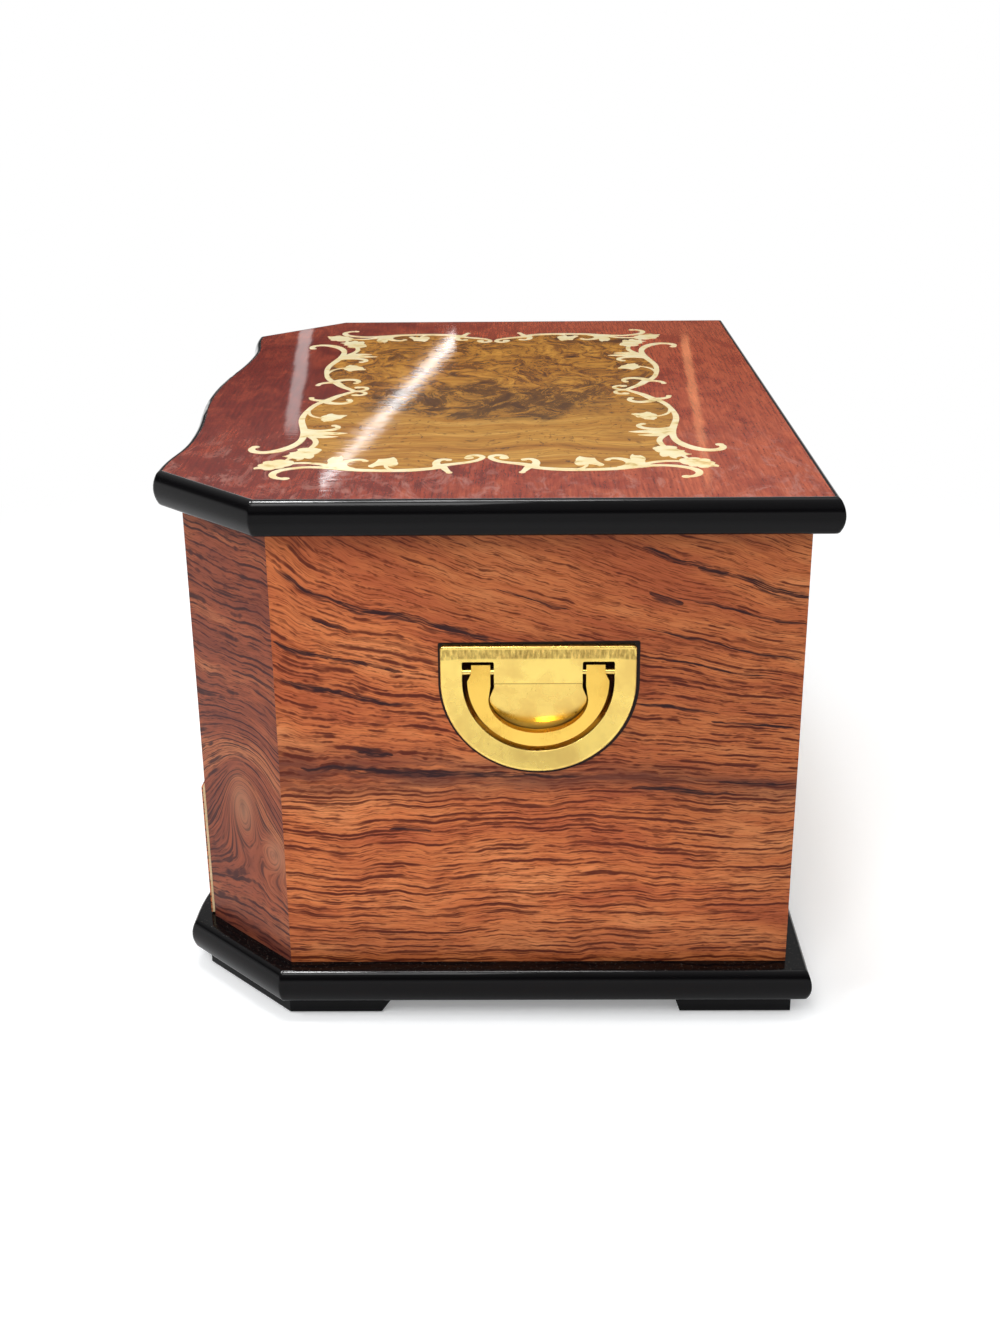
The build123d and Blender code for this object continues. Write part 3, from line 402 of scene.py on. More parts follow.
@dataclass(frozen=True)
class Rosewood:
    """Lacquered rosewood veneer: dark lines that wander along the sheet and close round its knots.

    Attributes:
        seed: picks another sheet of the same wood.
        light: colour of the palest zones.
        middle: colour of most of the sheet.
        deep: colour of the darkest zones.
        line: colour of the thin lines.
        streak: colour of the broad streaks.
        ring: colour round a knot's eye.
        black: colour of the dark joint line round the handle, and of the painted shadow that widens
            it to the lower right.
        slope: fall of the grain per millimetre of height, above its level part.
        level: height up to which the grain is level.
        pivot: place along the sheet where the fall is nil.
        knots: knots of the sheet.
        band: height of a dark band across the sheet.
        band_width: how far it spreads up and down.
        band_colour: colour of that band.
        families: the thin lines.
        streaks: the broad streaks.
        seat: the handle's half circle (middle, height, radius) and its top, with a dark joint line
            round it that a painted shadow widens to the lower right.
    """

    name: str = "rosewood_side"
    seed: float = 0.0
    light: Colour = (0.62, 0.215, 0.078)
    middle: Colour = (0.53, 0.152, 0.050)
    deep: Colour = (0.40, 0.095, 0.034)
    line: Colour = (0.082, 0.012, 0.006)
    streak: Colour = (0.020, 0.007, 0.010)
    ring: Colour = (0.50, 0.225, 0.120)
    black: Colour = (0.010, 0.006, 0.005)
    slope: float = 0.0037
    level: float = 105.0
    pivot: float = 20.0
    knots: tuple[Knot, ...] = ()
    band: float = 111.5
    band_width: float = 7.5
    band_colour: Colour = (0.10, 0.030, 0.022)
    families: tuple[Strokes, ...] = (
        Strokes(6.1, 1.30, 0.39, 0.58, 0.020, 0.96, LOWER),
        Strokes(3.7, 1.05, 0.42, 0.58, 0.034, 0.92, LOWER),
        Strokes(2.2, 0.75, 0.46, 0.60, 0.060, 0.80, LOWER),
        Strokes(4.4, 1.60, 0.44, 0.60, 0.042, 0.96, MIDDLE),
        Strokes(2.6, 1.00, 0.45, 0.60, 0.065, 0.88, MIDDLE),
        Strokes(4.9, 1.30, 0.50, 0.64, 0.045, 0.90, UPPER),
        Strokes(2.1, 0.70, 0.50, 0.62, 0.090, 0.72, UPPER))
    streaks: tuple[Streak, ...] = ()
    seat: tuple[float, float, float, float] | None = None

    def height(self, bench: Bench) -> Socket:
        """Height that the growth lines follow, in millimetres.

        Args:
            bench: bench of the material.

        Returns:
            The warped height.
        """
        above = bench.math("MAXIMUM", bench.minus(bench.z, self.level), 0.0)
        fall = bench.times(bench.times(above, self.slope), bench.minus(bench.y, self.pivot))
        height = bench.plus(bench.z, fall)
        for scales, size, seed in (((0.008, 0.008, 0.009), 7.0, 3.1),
                                   ((0.030, 0.030, 0.020), 3.4, 8.2),
                                   ((0.075, 0.075, 0.045), 1.5, 5.5),
                                   ((0.24, 0.24, 0.16), 0.40, 2.2)):
            bend = bench.noise(bench.place, scales, 1.0, 0.5, seed=seed + self.seed)
            height = bench.plus(height, bench.swing(bend, size))
        for knot in self.knots:
            height = bench.math("MULTIPLY_ADD", self.swell(bench, knot, 1.0), knot.lift, height)
        return height

    def swell(self, bench: Bench, knot: Knot, size: float) -> Socket:
        """Weight of a knot.

        Args:
            bench: bench of the material.
            knot: the knot.
            size: share of its reach.

        Returns:
            1 at the knot's middle, falling to 0.
        """
        away = bench.vector("SUBTRACT", bench.place, knot.place)
        wide, tall = 1 / (knot.reach * size), 1 / (knot.height * size)
        scaled = bench.vector("MULTIPLY", away, (wide, wide, tall))
        return bench.hill(bench.vector("LENGTH", scaled))

    def strokes(self, bench: Bench, height: Socket, family: Strokes, seed: float) -> Socket:
        """Mask of one family of lines.

        Args:
            bench: bench of the material.
            height: warped height.
            family: the family.
            seed: shift of its pattern.

        Returns:
            1 on a line, 0 between the lines.
        """
        count = bench.math("MULTIPLY_ADD", height, 1 / family.pitch, seed)
        number = bench.math("FLOOR", count)
        chance = bench.add("TexWhiteNoise", None, number, noise_dimensions="1D")
        centre = bench.math("MULTIPLY_ADD", chance, 0.56, 0.22)
        off = bench.off(bench.math("FRACT", count), centre)
        track = bench.join(bench.x, bench.y, bench.times(number, 61.0))
        run = bench.noise(track, family.along, 3.0, 0.62, seed=seed + self.seed)
        wide = bench.step(run, family.start, family.full, 0.0, family.width / family.pitch / 2)
        share = bench.math("DIVIDE", off, bench.plus(wide, 0.0001))
        mask = bench.step(share, 0.50, 1.20, family.weight, 0.0)
        mask = bench.times(mask, bench.step(run, family.start, family.full, 0.25, 1.0))
        low, shown, hiding, high = family.zone
        wavy = bench.math("MULTIPLY_ADD", run, 40.0, bench.minus(bench.z, 20.0))
        inside = bench.times(bench.step(wavy, low, shown),
                             bench.step(wavy, hiding, high, 1.0, 0.0))
        return bench.times(mask, inside)

    def lens(self, bench: Bench, height: Socket, ragged: Socket, streak: Streak) -> Socket:
        """Mask of one broad streak.

        Args:
            bench: bench of the material.
            height: warped height.
            ragged: noise that frays the streak.
            streak: the streak.

        Returns:
            1 in the streak, 0 outside.
        """
        middle, half = (streak.start + streak.end) / 2, (streak.end - streak.start) / 2
        along = bench.math("DIVIDE", bench.minus(bench.y, middle), half)
        taper = bench.minus(1.0, bench.times(along, along), clamp=True)
        fray = bench.step(ragged, 0.34, 0.60, 0.10, streak.width / 1.3)
        wide = bench.times(bench.math("SQRT", taper), fray)
        share = bench.math("DIVIDE", bench.off(height, streak.height), bench.plus(wide, 0.01))
        return bench.step(share, 0.35, 1.15, 1.0, 0.0)

    def joint_and_painted_shadow(self, bench: Bench) -> Socket:
        """Mask of the dark joint line round the handle's seat, widened to the lower right as a
        painted shadow.

        Args:
            bench: bench of the material.

        Returns:
            1 on the line.
        """
        middle, low, radius, top = self.seat
        side, up = bench.minus(bench.y, middle), bench.minus(bench.z, low)
        curved = bench.length(side, bench.math("MINIMUM", up, 0.0))
        away = bench.math("SMOOTH_MAX", bench.minus(curved, radius),
                          bench.minus(up, top - low), 1.6)
        # painted shadow: the line grows wider toward the lower right
        lean = bench.math("DIVIDE", bench.minus(side, up), radius)
        wide = bench.math("MULTIPLY_ADD", lean, 0.28, 1.25)
        return bench.step(bench.minus(away, wide), -0.12, 0.18, 1.0, 0.0)

    def ground(self, bench: Bench, rings: Socket, height: Socket, fibre: Socket) -> Socket:
        """Colour of the sheet before its lines.

        Args:
            bench: bench of the material.
            rings: coordinates that follow the growth lines.
            height: warped height.
            fibre: fine noise along the fibres.

        Returns:
            The colour.
        """
        tone = bench.noise(rings, (0.009, 0.009, 0.045), 4.0, 0.62, seed=1.3 + self.seed)
        tone = bench.minus(tone, bench.step(bench.z, 120.0, 185.0, 0.0, 0.06))
        colour = bench.ramp(tone, [(0.36, self.deep), (0.50, self.middle), (0.64, self.light)])
        colour = bench.tint(colour, fibre, [(0.34, (0.66, 0.56, 0.50)), (0.50, WHITE),
                                            (0.66, (1.16, 1.18, 1.14))])
        ticks = bench.noise(rings, (0.15, 0.15, 1.9), 2.0, 0.6, seed=3.4 + self.seed)
        colour = bench.mix(bench.step(ticks, 0.54, 0.64, 0.0, 0.62), colour, self.line)
        ragged = bench.noise(rings, (0.030, 0.030, 0.40), 4.0, 0.68, seed=9.0 + self.seed)
        off = bench.math("DIVIDE", bench.minus(height, self.band), self.band_width)
        band = bench.times(bench.hill(off), bench.step(ragged, 0.30, 0.60, 0.25, 0.85))
        return bench.mix(band, colour, self.band_colour)

    def build(self) -> bpy.types.Material:
        """Make the material.

        Returns:
            The material.
        """
        bench = coated(self.name)
        height = self.height(bench)
        rings = bench.join(bench.x, bench.y, height)
        fibre = bench.noise(rings, (0.06, 0.06, 1.2), 3.0, 0.7, seed=4.7 + self.seed)
        colour = self.ground(bench, rings, height, fibre)
        lines = bench.highest([self.strokes(bench, height, family, 11.3 + 5.7 * number)
                               for number, family in enumerate(self.families)])
        colour = bench.mix(lines, colour, self.line)
        if self.streaks:
            frayed = bench.noise(rings, (0.045, 0.045, 0.55), 3.0, 0.66, seed=6.6 + self.seed)
            dark = bench.highest([self.lens(bench, height, frayed, s) for s in self.streaks])
            grit = bench.noise(rings, (0.07, 0.07, 1.1), 2.0, 0.6, seed=7.9)
            dark = bench.times(dark, bench.step(grit, 0.36, 0.54, 0.45, 0.96))
            colour = bench.mix(dark, colour, self.streak)
        for knot in (knot for knot in self.knots if knot.eye):
            pale = bench.times(self.swell(bench, knot, 0.8), knot.eye)
            colour = bench.mix(pale, colour, self.ring)
            spot = bench.times(self.swell(bench, knot, 0.26), 0.8 * knot.eye)
            colour = bench.mix(spot, colour, self.streak)
        normal = bench.bump(fibre, 0.05, 0.0003)
        if self.seat:
            # painted shade: darker toward the upper right, where less light falls; darker towards
            # the bottom as well
            upper = bench.step(bench.plus(bench.y, bench.z), 135.0, 195.0, 1.0, 0.80)
            foot = bench.step(bench.z, 26.0, 62.0, 0.80, 1.0)
            colour = bench.mix(1.0, colour, bench.times(upper, foot), "MULTIPLY")
            # dark joint line round the handle, widened to the lower right as a painted shadow
            colour = bench.mix(self.joint_and_painted_shadow(bench), colour, self.black)
        return bench.surface(Base_Color=colour, Roughness=0.28, Normal=normal,
                             Specular_IOR_Level=0.13)


def polish(bench: Bench, scales: Colour, depth: float) -> Socket:
    """Normal of polished veneer: broad waves under a fine ripple.

    Args:
        bench: bench of the material.
        scales: factors of the waves.
        depth: depth of the ripple in metres.

    Returns:
        The normal.
    """
    waves = bench.noise(bench.place, scales, 2.0, 0.5, seed=4.0)
    ripple = bench.noise(bench.place, (0.45, 0.05, 0.1), 2.0, 0.6, seed=1.5)
    return bench.bump(ripple, 0.10, depth, bench.bump(waves, 0.10, 0.0006))


@dataclass(frozen=True)
class RedVeneer:
    """High gloss red veneer of the lid's border, with a soft cross figure, lighter to the back, and
    a pale painted reflection on its near side.

    Attributes:
        deep: colour near the front.
        middle: colour between them.
        light: colour near the back.
        fleck: colour of the small flecks.
        haze: colour of the pale painted reflection on the near side.
    """

    name: str = "red_veneer"
    deep: Colour = (0.20, 0.018, 0.008)
    middle: Colour = (0.34, 0.048, 0.020)
    light: Colour = (0.50, 0.100, 0.040)
    fleck: Colour = (0.09, 0.010, 0.008)
    haze: Colour = (0.52, 0.24, 0.19)

    def build(self) -> bpy.types.Material:
        """Make the material.

        Returns:
            The material.
        """
        bench = coated(self.name)
        place = bench.place
        figure = bench.noise(place, (0.024, 0.050, 0.05), 5.0, 0.68, twist=0.8, seed=2.0)
        back = bench.plus(bench.step(bench.y, -120.0, 130.0, -0.17, 0.13),
                          bench.step(bench.x, -60.0, -170.0, 0.0, 0.10))
        colour = bench.ramp(bench.plus(figure, back),
                            [(0.30, self.deep), (0.48, self.middle), (0.68, self.light)])
        fibre = bench.noise(place, (0.05, 0.9, 0.5), 3.0, 0.6, seed=5.0)
        colour = bench.tint(colour, fibre, [(0.3, (0.64, 0.54, 0.52)), (0.7, (1.22, 1.26, 1.26))])
        flecks = bench.noise(place, (0.30, 1.4, 1.0), 2.0, 0.6, seed=8.0)
        colour = bench.mix(bench.step(flecks, 0.58, 0.72, 0.0, 0.6), colour, self.fleck)
        # painted reflection: pale patches of sheen on the near side of the border
        painted_reflection = bench.noise(place, (0.035, 0.080, 0.03), 5.0, 0.72, twist=1.5, seed=6.0)
        painted_reflection = bench.times(bench.step(painted_reflection, 0.48, 0.70, 0.0, 0.55),
                             bench.step(bench.x, 60.0, 150.0))
        colour = bench.mix(painted_reflection, colour, self.haze)
        return bench.surface(Base_Color=colour, Roughness=0.045, IOR=1.42,
                             Normal=polish(bench, (0.02, 0.05, 0.05), 0.00012))


@dataclass(frozen=True)
class BurlVeneer:
    """High gloss burl panel: mottled brown at the far side, streaked gold at the near side.

    Attributes:
        gold, olive, brown, dark: colours of the burl, from pale to dark.
        straw, pale: palest colours of the streaked side.
        cloud: middle of the dark cloud.
        cloud_size: its half axes.
        bend: greatest shift of the figure, in millimetres.
    """

    name: str = "burl_veneer"
    gold: Colour = (0.72, 0.340, 0.050)
    olive: Colour = (0.46, 0.190, 0.022)
    brown: Colour = (0.25, 0.085, 0.010)
    dark: Colour = (0.060, 0.017, 0.004)
    straw: Colour = (0.58, 0.280, 0.042)
    pale: Colour = (0.68, 0.370, 0.080)
    cloud: Colour = (20.0, 5.0, 0.0)
    cloud_size: tuple[float, float] = (46.0, 62.0)
    bend: float = 26.0

    def build(self) -> bpy.types.Material:
        """Make the material.

        Returns:
            The material.
        """
        bench = coated(self.name)
        warp = bench.noise(bench.place, 0.015, 2.0, 0.5, seed=1.0)
        wind = bench.noise(bench.place, 0.02, 2.0, 0.5, seed=6.0)
        bent = bench.join(bench.plus(bench.x, bench.swing(warp, self.bend)),
                          bench.plus(bench.y, bench.swing(wind, self.bend)), bench.z)
        burl = bench.noise(bent, (0.060, 0.085, 0.05), 6.0, 0.70, twist=1.1, seed=3.0)
        burl_colour = bench.ramp(burl, [(0.32, self.dark), (0.42, self.brown),
                                        (0.51, self.olive), (0.63, self.gold)])
        straight = bench.noise(bent, (0.13, 0.010, 0.05), 5.0, 0.66, seed=5.0)
        streaked = bench.ramp(straight, [(0.26, self.brown), (0.41, self.olive),
                                         (0.56, self.straw), (0.72, self.pale)])
        near = bench.step(bench.plus(bench.x, bench.swing(warp, 60.0)), 0.0, 60.0)
        colour = bench.mix(near, burl_colour, streaked)
        wide, deep = self.cloud_size
        away = bench.vector("SUBTRACT", bent, self.cloud)
        off = bench.vector("LENGTH", bench.vector("MULTIPLY", away, (1 / wide, 1 / deep, 0.0)))
        cloud = bench.noise(bent, (0.030, 0.040, 0.02), 4.0, 0.66, seed=9.0)
        shadow = bench.minus(bench.math("MULTIPLY_ADD", cloud, 3.4, -0.75), off)
        share = bench.times(bench.step(shadow, -0.25, 0.60, 0.0, 0.86),
                            bench.step(burl, 0.66, 0.40, 0.35, 1.0))
        colour = bench.mix(share, colour, self.dark)
        fibre = bench.noise(bent, (0.9, 0.12, 0.5), 3.0, 0.65, seed=2.5)
        colour = bench.tint(colour, fibre, [(0.3, (0.66, 0.62, 0.56)), (0.7, (1.22, 1.20, 1.14))])
        eyes = bench.noise(bent, (0.22, 0.30, 0.1), 2.0, 0.6, twist=0.6, seed=7.0)
        colour = bench.mix(bench.step(eyes, 0.58, 0.70, 0.0, 0.55), colour, self.dark)
        return bench.surface(Base_Color=colour, Roughness=0.045, IOR=1.42,
                             Normal=polish(bench, (0.018, 0.045, 0.05), 0.00016))


@dataclass(frozen=True)
class PaleInlay:
    """Pale maple scrollwork, a little browned along its fibres."""

    name: str = "pale_inlay"

    def build(self) -> bpy.types.Material:
        """Make the material.

        Returns:
            The material.
        """
        bench = coated(self.name)
        tone = bench.noise(bench.place, (0.16, 0.10, 0.1), 3.0, 0.6, twist=0.5, seed=2.0)
        colour = bench.ramp(tone, [(0.28, (0.66, 0.44, 0.14)), (0.40, (0.96, 0.79, 0.42)),
                                   (0.66, (1.0, 0.90, 0.60))])
        return bench.surface(Base_Color=colour, Roughness=0.10, IOR=1.35)


@dataclass(frozen=True)
class BlackLacquer:
    """Deep black gloss lacquer with a faint ripple and some dust.

    Attributes:
        shoulder: radius in metres that its rubbed edges show.
        ledge: height of the base board's top, where dust lies.
        coat: colour of the lacquer.
        dust: colour of the dust.
    """

    name: str = "black_lacquer"
    shoulder: float = 0.0020
    ledge: float = 24.6
    coat: Colour = (0.0022, 0.0020, 0.0024)
    dust: Colour = (0.30, 0.27, 0.23)

    def build(self) -> bpy.types.Material:
        """Make the material.

        Returns:
            The material.
        """
        bench = coated(self.name)
        dust = bench.noise(bench.place, 0.7, 4.0, 0.8, seed=3.0)
        ledge = bench.step(bench.off(bench.z, self.ledge), 0.2, 0.6, 0.16, 0.0)
        specks = bench.plus(bench.step(dust, 0.72, 0.80, 0.0, 0.12),
                            bench.times(bench.step(dust, 0.56, 0.70), ledge), clamp=True)
        colour = bench.mix(specks, self.coat, self.dust)
        ripple = bench.noise(bench.place, 0.05, 2.0, 0.5, seed=7.0)
        normal = bench.bump(ripple, 0.10, 0.0003, bench.edges(self.shoulder, 16))
        return bench.surface(Base_Color=colour, Roughness=0.05, Normal=normal, IOR=1.24)


@dataclass(frozen=True)
class PlainWood:
    """Plain hardwood of the hidden boards.

    Attributes:
        way: direction of the fibres.
        light: colour between the lines.
        deep: colour of the lines.
        rough: roughness of the surface.
    """

    name: str
    way: Way = Way.WIDE
    light: Colour = (0.56, 0.36, 0.19)
    deep: Colour = (0.34, 0.19, 0.085)
    rough: float = 0.48

    def build(self) -> bpy.types.Material:
        """Make the material.

        Returns:
            The material.
        """
        bench = coated(self.name)
        along = self.way.value
        broad = bench.noise(bench.place, tuple(0.16 * s for s in along), 4.0, 0.6, twist=0.3,
                            seed=1.0)
        fine = bench.noise(bench.place, tuple(1.5 * s for s in along), 3.0, 0.6, seed=5.0)
        colour = bench.ramp(broad, [(0.30, self.deep), (0.70, self.light)])
        colour = bench.tint(colour, fine, [(0.3, (0.80, 0.78, 0.75)), (0.7, (1.1, 1.1, 1.1))])
        return bench.surface(Base_Color=colour, Roughness=self.rough,
                             Normal=bench.bump(fine, 0.15, 0.0003))


@dataclass(frozen=True)
class Metal:
    """Polished or satin metal with fine brushing and a few dull spots.

    Attributes:
        colour: colour of the clean metal.
        dull: colour of the dull spots.
        low: roughness where it is brightest.
        high: roughness where it is dullest.
        brushed: factors that stretch the brushing.
    """

    name: str
    colour: Colour
    dull: Colour
    low: float = 0.14
    high: float = 0.34
    brushed: Colour = (1.2, 5.0, 0.10)

    def build(self) -> bpy.types.Material:
        """Make the material.

        Returns:
            The material.
        """
        bench = coated(self.name)
        cloud = bench.noise(bench.place, 0.06, 3.0, 0.6, seed=2.0)
        scratch = bench.noise(bench.place, self.brushed, 2.0, 0.6, seed=4.0)
        colour = bench.mix(bench.step(cloud, 0.50, 0.72, 0.0, 0.55), self.colour, self.dull)
        rough = bench.plus(bench.step(cloud, 0.30, 0.75, self.low, self.high),
                           bench.swing(scratch, 0.05), clamp=True)
        return bench.surface(Base_Color=colour, Metallic=1.0, Roughness=rough,
                             Normal=bench.bump(scratch, 0.10, 0.0001))


@dataclass(frozen=True)
class PlateBrass:
    """Brass of the handle plates: satin field, brushed upper slope darkened as a painted
    reflection, recess darkened as painted shade, with a painted reflection in its cup.

    Attributes:
        colour: colour of the clean brass.
        dull: colour of its dull spots.
        amber, brown, black: a bright painted reflection in the cup, painted shade outside it and
            deeper painted shade in the upper part of the recess.
        crease: colour of the line across the cup, painted shade along its fold.
        face: distance of the plate's inner field from the middle of the chest.
        middle: middle of the plate along the wall.
        low: middle height of the half circle.
        top: foot of the upper slope.
        rim: where the flat rim begins above it.
        cup: radius of the cup's lip.
        drop: how far the cup reaches below that middle height.
        sunk: how deep its floor lies.
        fold: half width of the cup where the line crosses it.
    """

    name: str = "plate_brass"
    colour: Colour = (0.91, 0.67, 0.185)
    dull: Colour = (0.76, 0.51, 0.140)
    amber: Colour = (0.98, 0.60, 0.040)
    brown: Colour = (0.30, 0.110, 0.010)
    black: Colour = (0.030, 0.011, 0.006)
    crease: Colour = (0.20, 0.10, 0.02)
    face: float = 187.5
    middle: float = 21.0
    low: float = 156.8
    top: float = 166.9
    rim: float = 171.2
    cup: float = 24.0
    drop: float = 20.4
    sunk: float = 5.2
    fold: float = 18.0

    def build(self) -> bpy.types.Material:
        """Make the material.

        Returns:
            The material.
        """
        bench = coated(self.name)
        place, z = bench.place, bench.z
        cloud = bench.noise(place, 0.07, 3.0, 0.6, seed=2.0)
        colour = bench.mix(bench.step(cloud, 0.40, 0.68, 0.0, 0.7), self.colour, self.dull)
        streaks = bench.noise(place, (0.1, 0.75, 0.22), 3.0, 0.65, seed=6.0)
        # painted reflection: the brushed streaks of the upper slope are darkened to stand for the
        # dim surroundings it mirrors
        slope = bench.times(bench.step(z, self.top - 0.6, self.top + 0.4),
                            bench.step(z, self.rim - 0.2, self.rim + 0.3, 1.0, 0.0))
        painted_reflection = bench.tint(colour, streaks, [
            (0.32, (0.36, 0.34, 0.30)), (0.52, (0.66, 0.64, 0.64)), (0.66, (0.98, 0.98, 1.0))])
        colour = bench.mix(slope, colour, painted_reflection)
        # painted shade: the recess darkens with its depth, brown outside the cup and black in its
        # upper part; the cup gets a bright orange painted reflection
        depth = bench.minus(bench.math("ABSOLUTE", bench.x), self.face)
        ramp = bench.step(z, self.low - self.drop, self.low - 0.8, -self.sunk, 0.0)
        recess_painted_shade_and_reflection = bench.step(bench.minus(depth, ramp), -1.9, -0.7, 1.0, 0.0)
        upper = bench.step(z, self.low - 14.0, self.low - 5.0)
        side, up = bench.minus(bench.y, self.middle), bench.minus(z, self.low)
        cup = bench.times(bench.step(bench.length(side, up), self.cup - 0.8, self.cup, 1.0, 0.0),
                          bench.step(up, -10.0, -6.0, 1.0, 0.0))
        lower = bench.mix(cup, self.brown, self.amber)
        deep = bench.mix(upper, lower, self.black)
        colour = bench.mix(recess_painted_shade_and_reflection, colour, deep)
        # painted shade along the fold where the flat part meets the cup's ramp
        crease = bench.times(bench.step(bench.off(up, -0.9), 0.10, 0.32, 0.65, 0.0),
                             bench.step(bench.math("ABSOLUTE", side), self.fold - 0.2, self.fold,
                                        1.0, 0.0))
        colour = bench.mix(crease, colour, self.crease)
        # less metallic in the cup, so that its painted reflection shows as bright diffuse orange
        solid = bench.minus(1.0, bench.times(bench.times(cup, recess_painted_shade_and_reflection), 0.7))
        rough = bench.plus(bench.step(cloud, 0.30, 0.75, 0.20, 0.36), bench.times(recess_painted_shade_and_reflection, 0.25))
        normal = bench.bump(streaks, 0.06, 0.0001, bench.edges(0.00045))
        return bench.surface(Base_Color=colour, Metallic=solid, Roughness=rough, Normal=normal)


@dataclass(frozen=True)
class Cloth:
    """Short pile or felt.

    Attributes:
        colour: colour of the pile.
        tip: colour where the pile is brushed.
        sheen: weight of the sheen.
    """

    name: str
    colour: Colour
    tip: Colour
    sheen: float = 0.7

    def build(self) -> bpy.types.Material:
        """Make the material.

        Returns:
            The material.
        """
        bench = coated(self.name)
        brushed = bench.noise(bench.place, 0.035, 3.0, 0.55, twist=0.6, seed=2.0)
        pile = bench.noise(bench.place, 3.0, 2.0, 0.7, seed=4.0)
        colour = bench.mix(bench.step(brushed, 0.30, 0.74), self.colour, self.tip)
        colour = bench.tint(colour, pile, [(0.3, (0.62, 0.62, 0.62)), (0.7, (1.2, 1.2, 1.2))])
        return bench.surface(Base_Color=colour, Roughness=0.9, Sheen_Weight=self.sheen,
                             Sheen_Roughness=0.35, Sheen_Tint=(*self.tip, 1.0),
                             Normal=bench.bump(pile, 0.5, 0.0003))


@dataclass(frozen=True)
class MirrorGlass:
    """Silvered glass."""

    name: str = "mirror_glass"

    def build(self) -> bpy.types.Material:
        """Make the material.

        Returns:
            The material.
        """
        bench = coated(self.name)
        haze = bench.noise(bench.place, 0.02, 2.0, 0.5, seed=1.0)
        return bench.surface(Base_Color=(0.93, 0.95, 0.94), Metallic=1.0,
                             Roughness=bench.step(haze, 0.4, 0.8, 0.015, 0.05))


@dataclass(frozen=True)
class FloorPaint:
    """White studio floor that keeps the shadow near the chest and is plain white farther out.

    Attributes:
        near: distance in millimetres up to which the floor is shaded.
        far: distance from which it is plain white.
        dim: distance up to which gloss shows it without the added light.
        lit: distance from which gloss shows it with all of that light.
        shape: factors that make these distances an oval round the chest.
        lift: light added to what the camera sees of it.
        paint: its colour.
    """

    name: str = "studio_floor"
    near: float = 330.0
    far: float = 800.0
    dim: float = 300.0
    lit: float = 480.0
    shape: Colour = (1.0, 1.15, 0.0)
    lift: float = 0.24
    paint: Colour = (0.90, 0.91, 0.92)

    def build(self) -> bpy.types.Material:
        """Make the material.

        Returns:
            The material.
        """
        bench = coated(self.name)
        away = bench.vector("LENGTH", bench.vector("MULTIPLY", bench.place, self.shape))
        camera, gloss = bench.rays()
        shown = bench.math("MAXIMUM", camera, gloss)
        far = bench.step(away, self.dim, self.lit, 0.0, self.lift)
        glow = bench.math("MULTIPLY_ADD", camera, self.lift, bench.times(gloss, far))
        near = bench.add("AddShader", bench.add("BsdfDiffuse", self.paint),
                         bench.add("Emission", WHITE, glow))
        share = bench.times(bench.step(away, self.near, self.far), shown)
        both = bench.add("MixShader", share, near, bench.add("Emission", WHITE))
        return bench.close(both, "OutputMaterial")


@dataclass
class Dresser:
    """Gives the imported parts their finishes."""

    done: set[str] = field(default_factory=set)

    def dress(self, finish: bpy.types.Material, *names: str) -> None:
        """Put one finish on some parts.

        Args:
            finish: the material.
            names: the parts' names.
        """
        for name in names:
            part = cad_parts[name]
            for holder in part.material_slots:
                holder.material = finish
            if not part.material_slots:
                part.data.materials.append(finish)
            self.done.add(name)
            log.info("dressed %s with %s", name, finish.name)


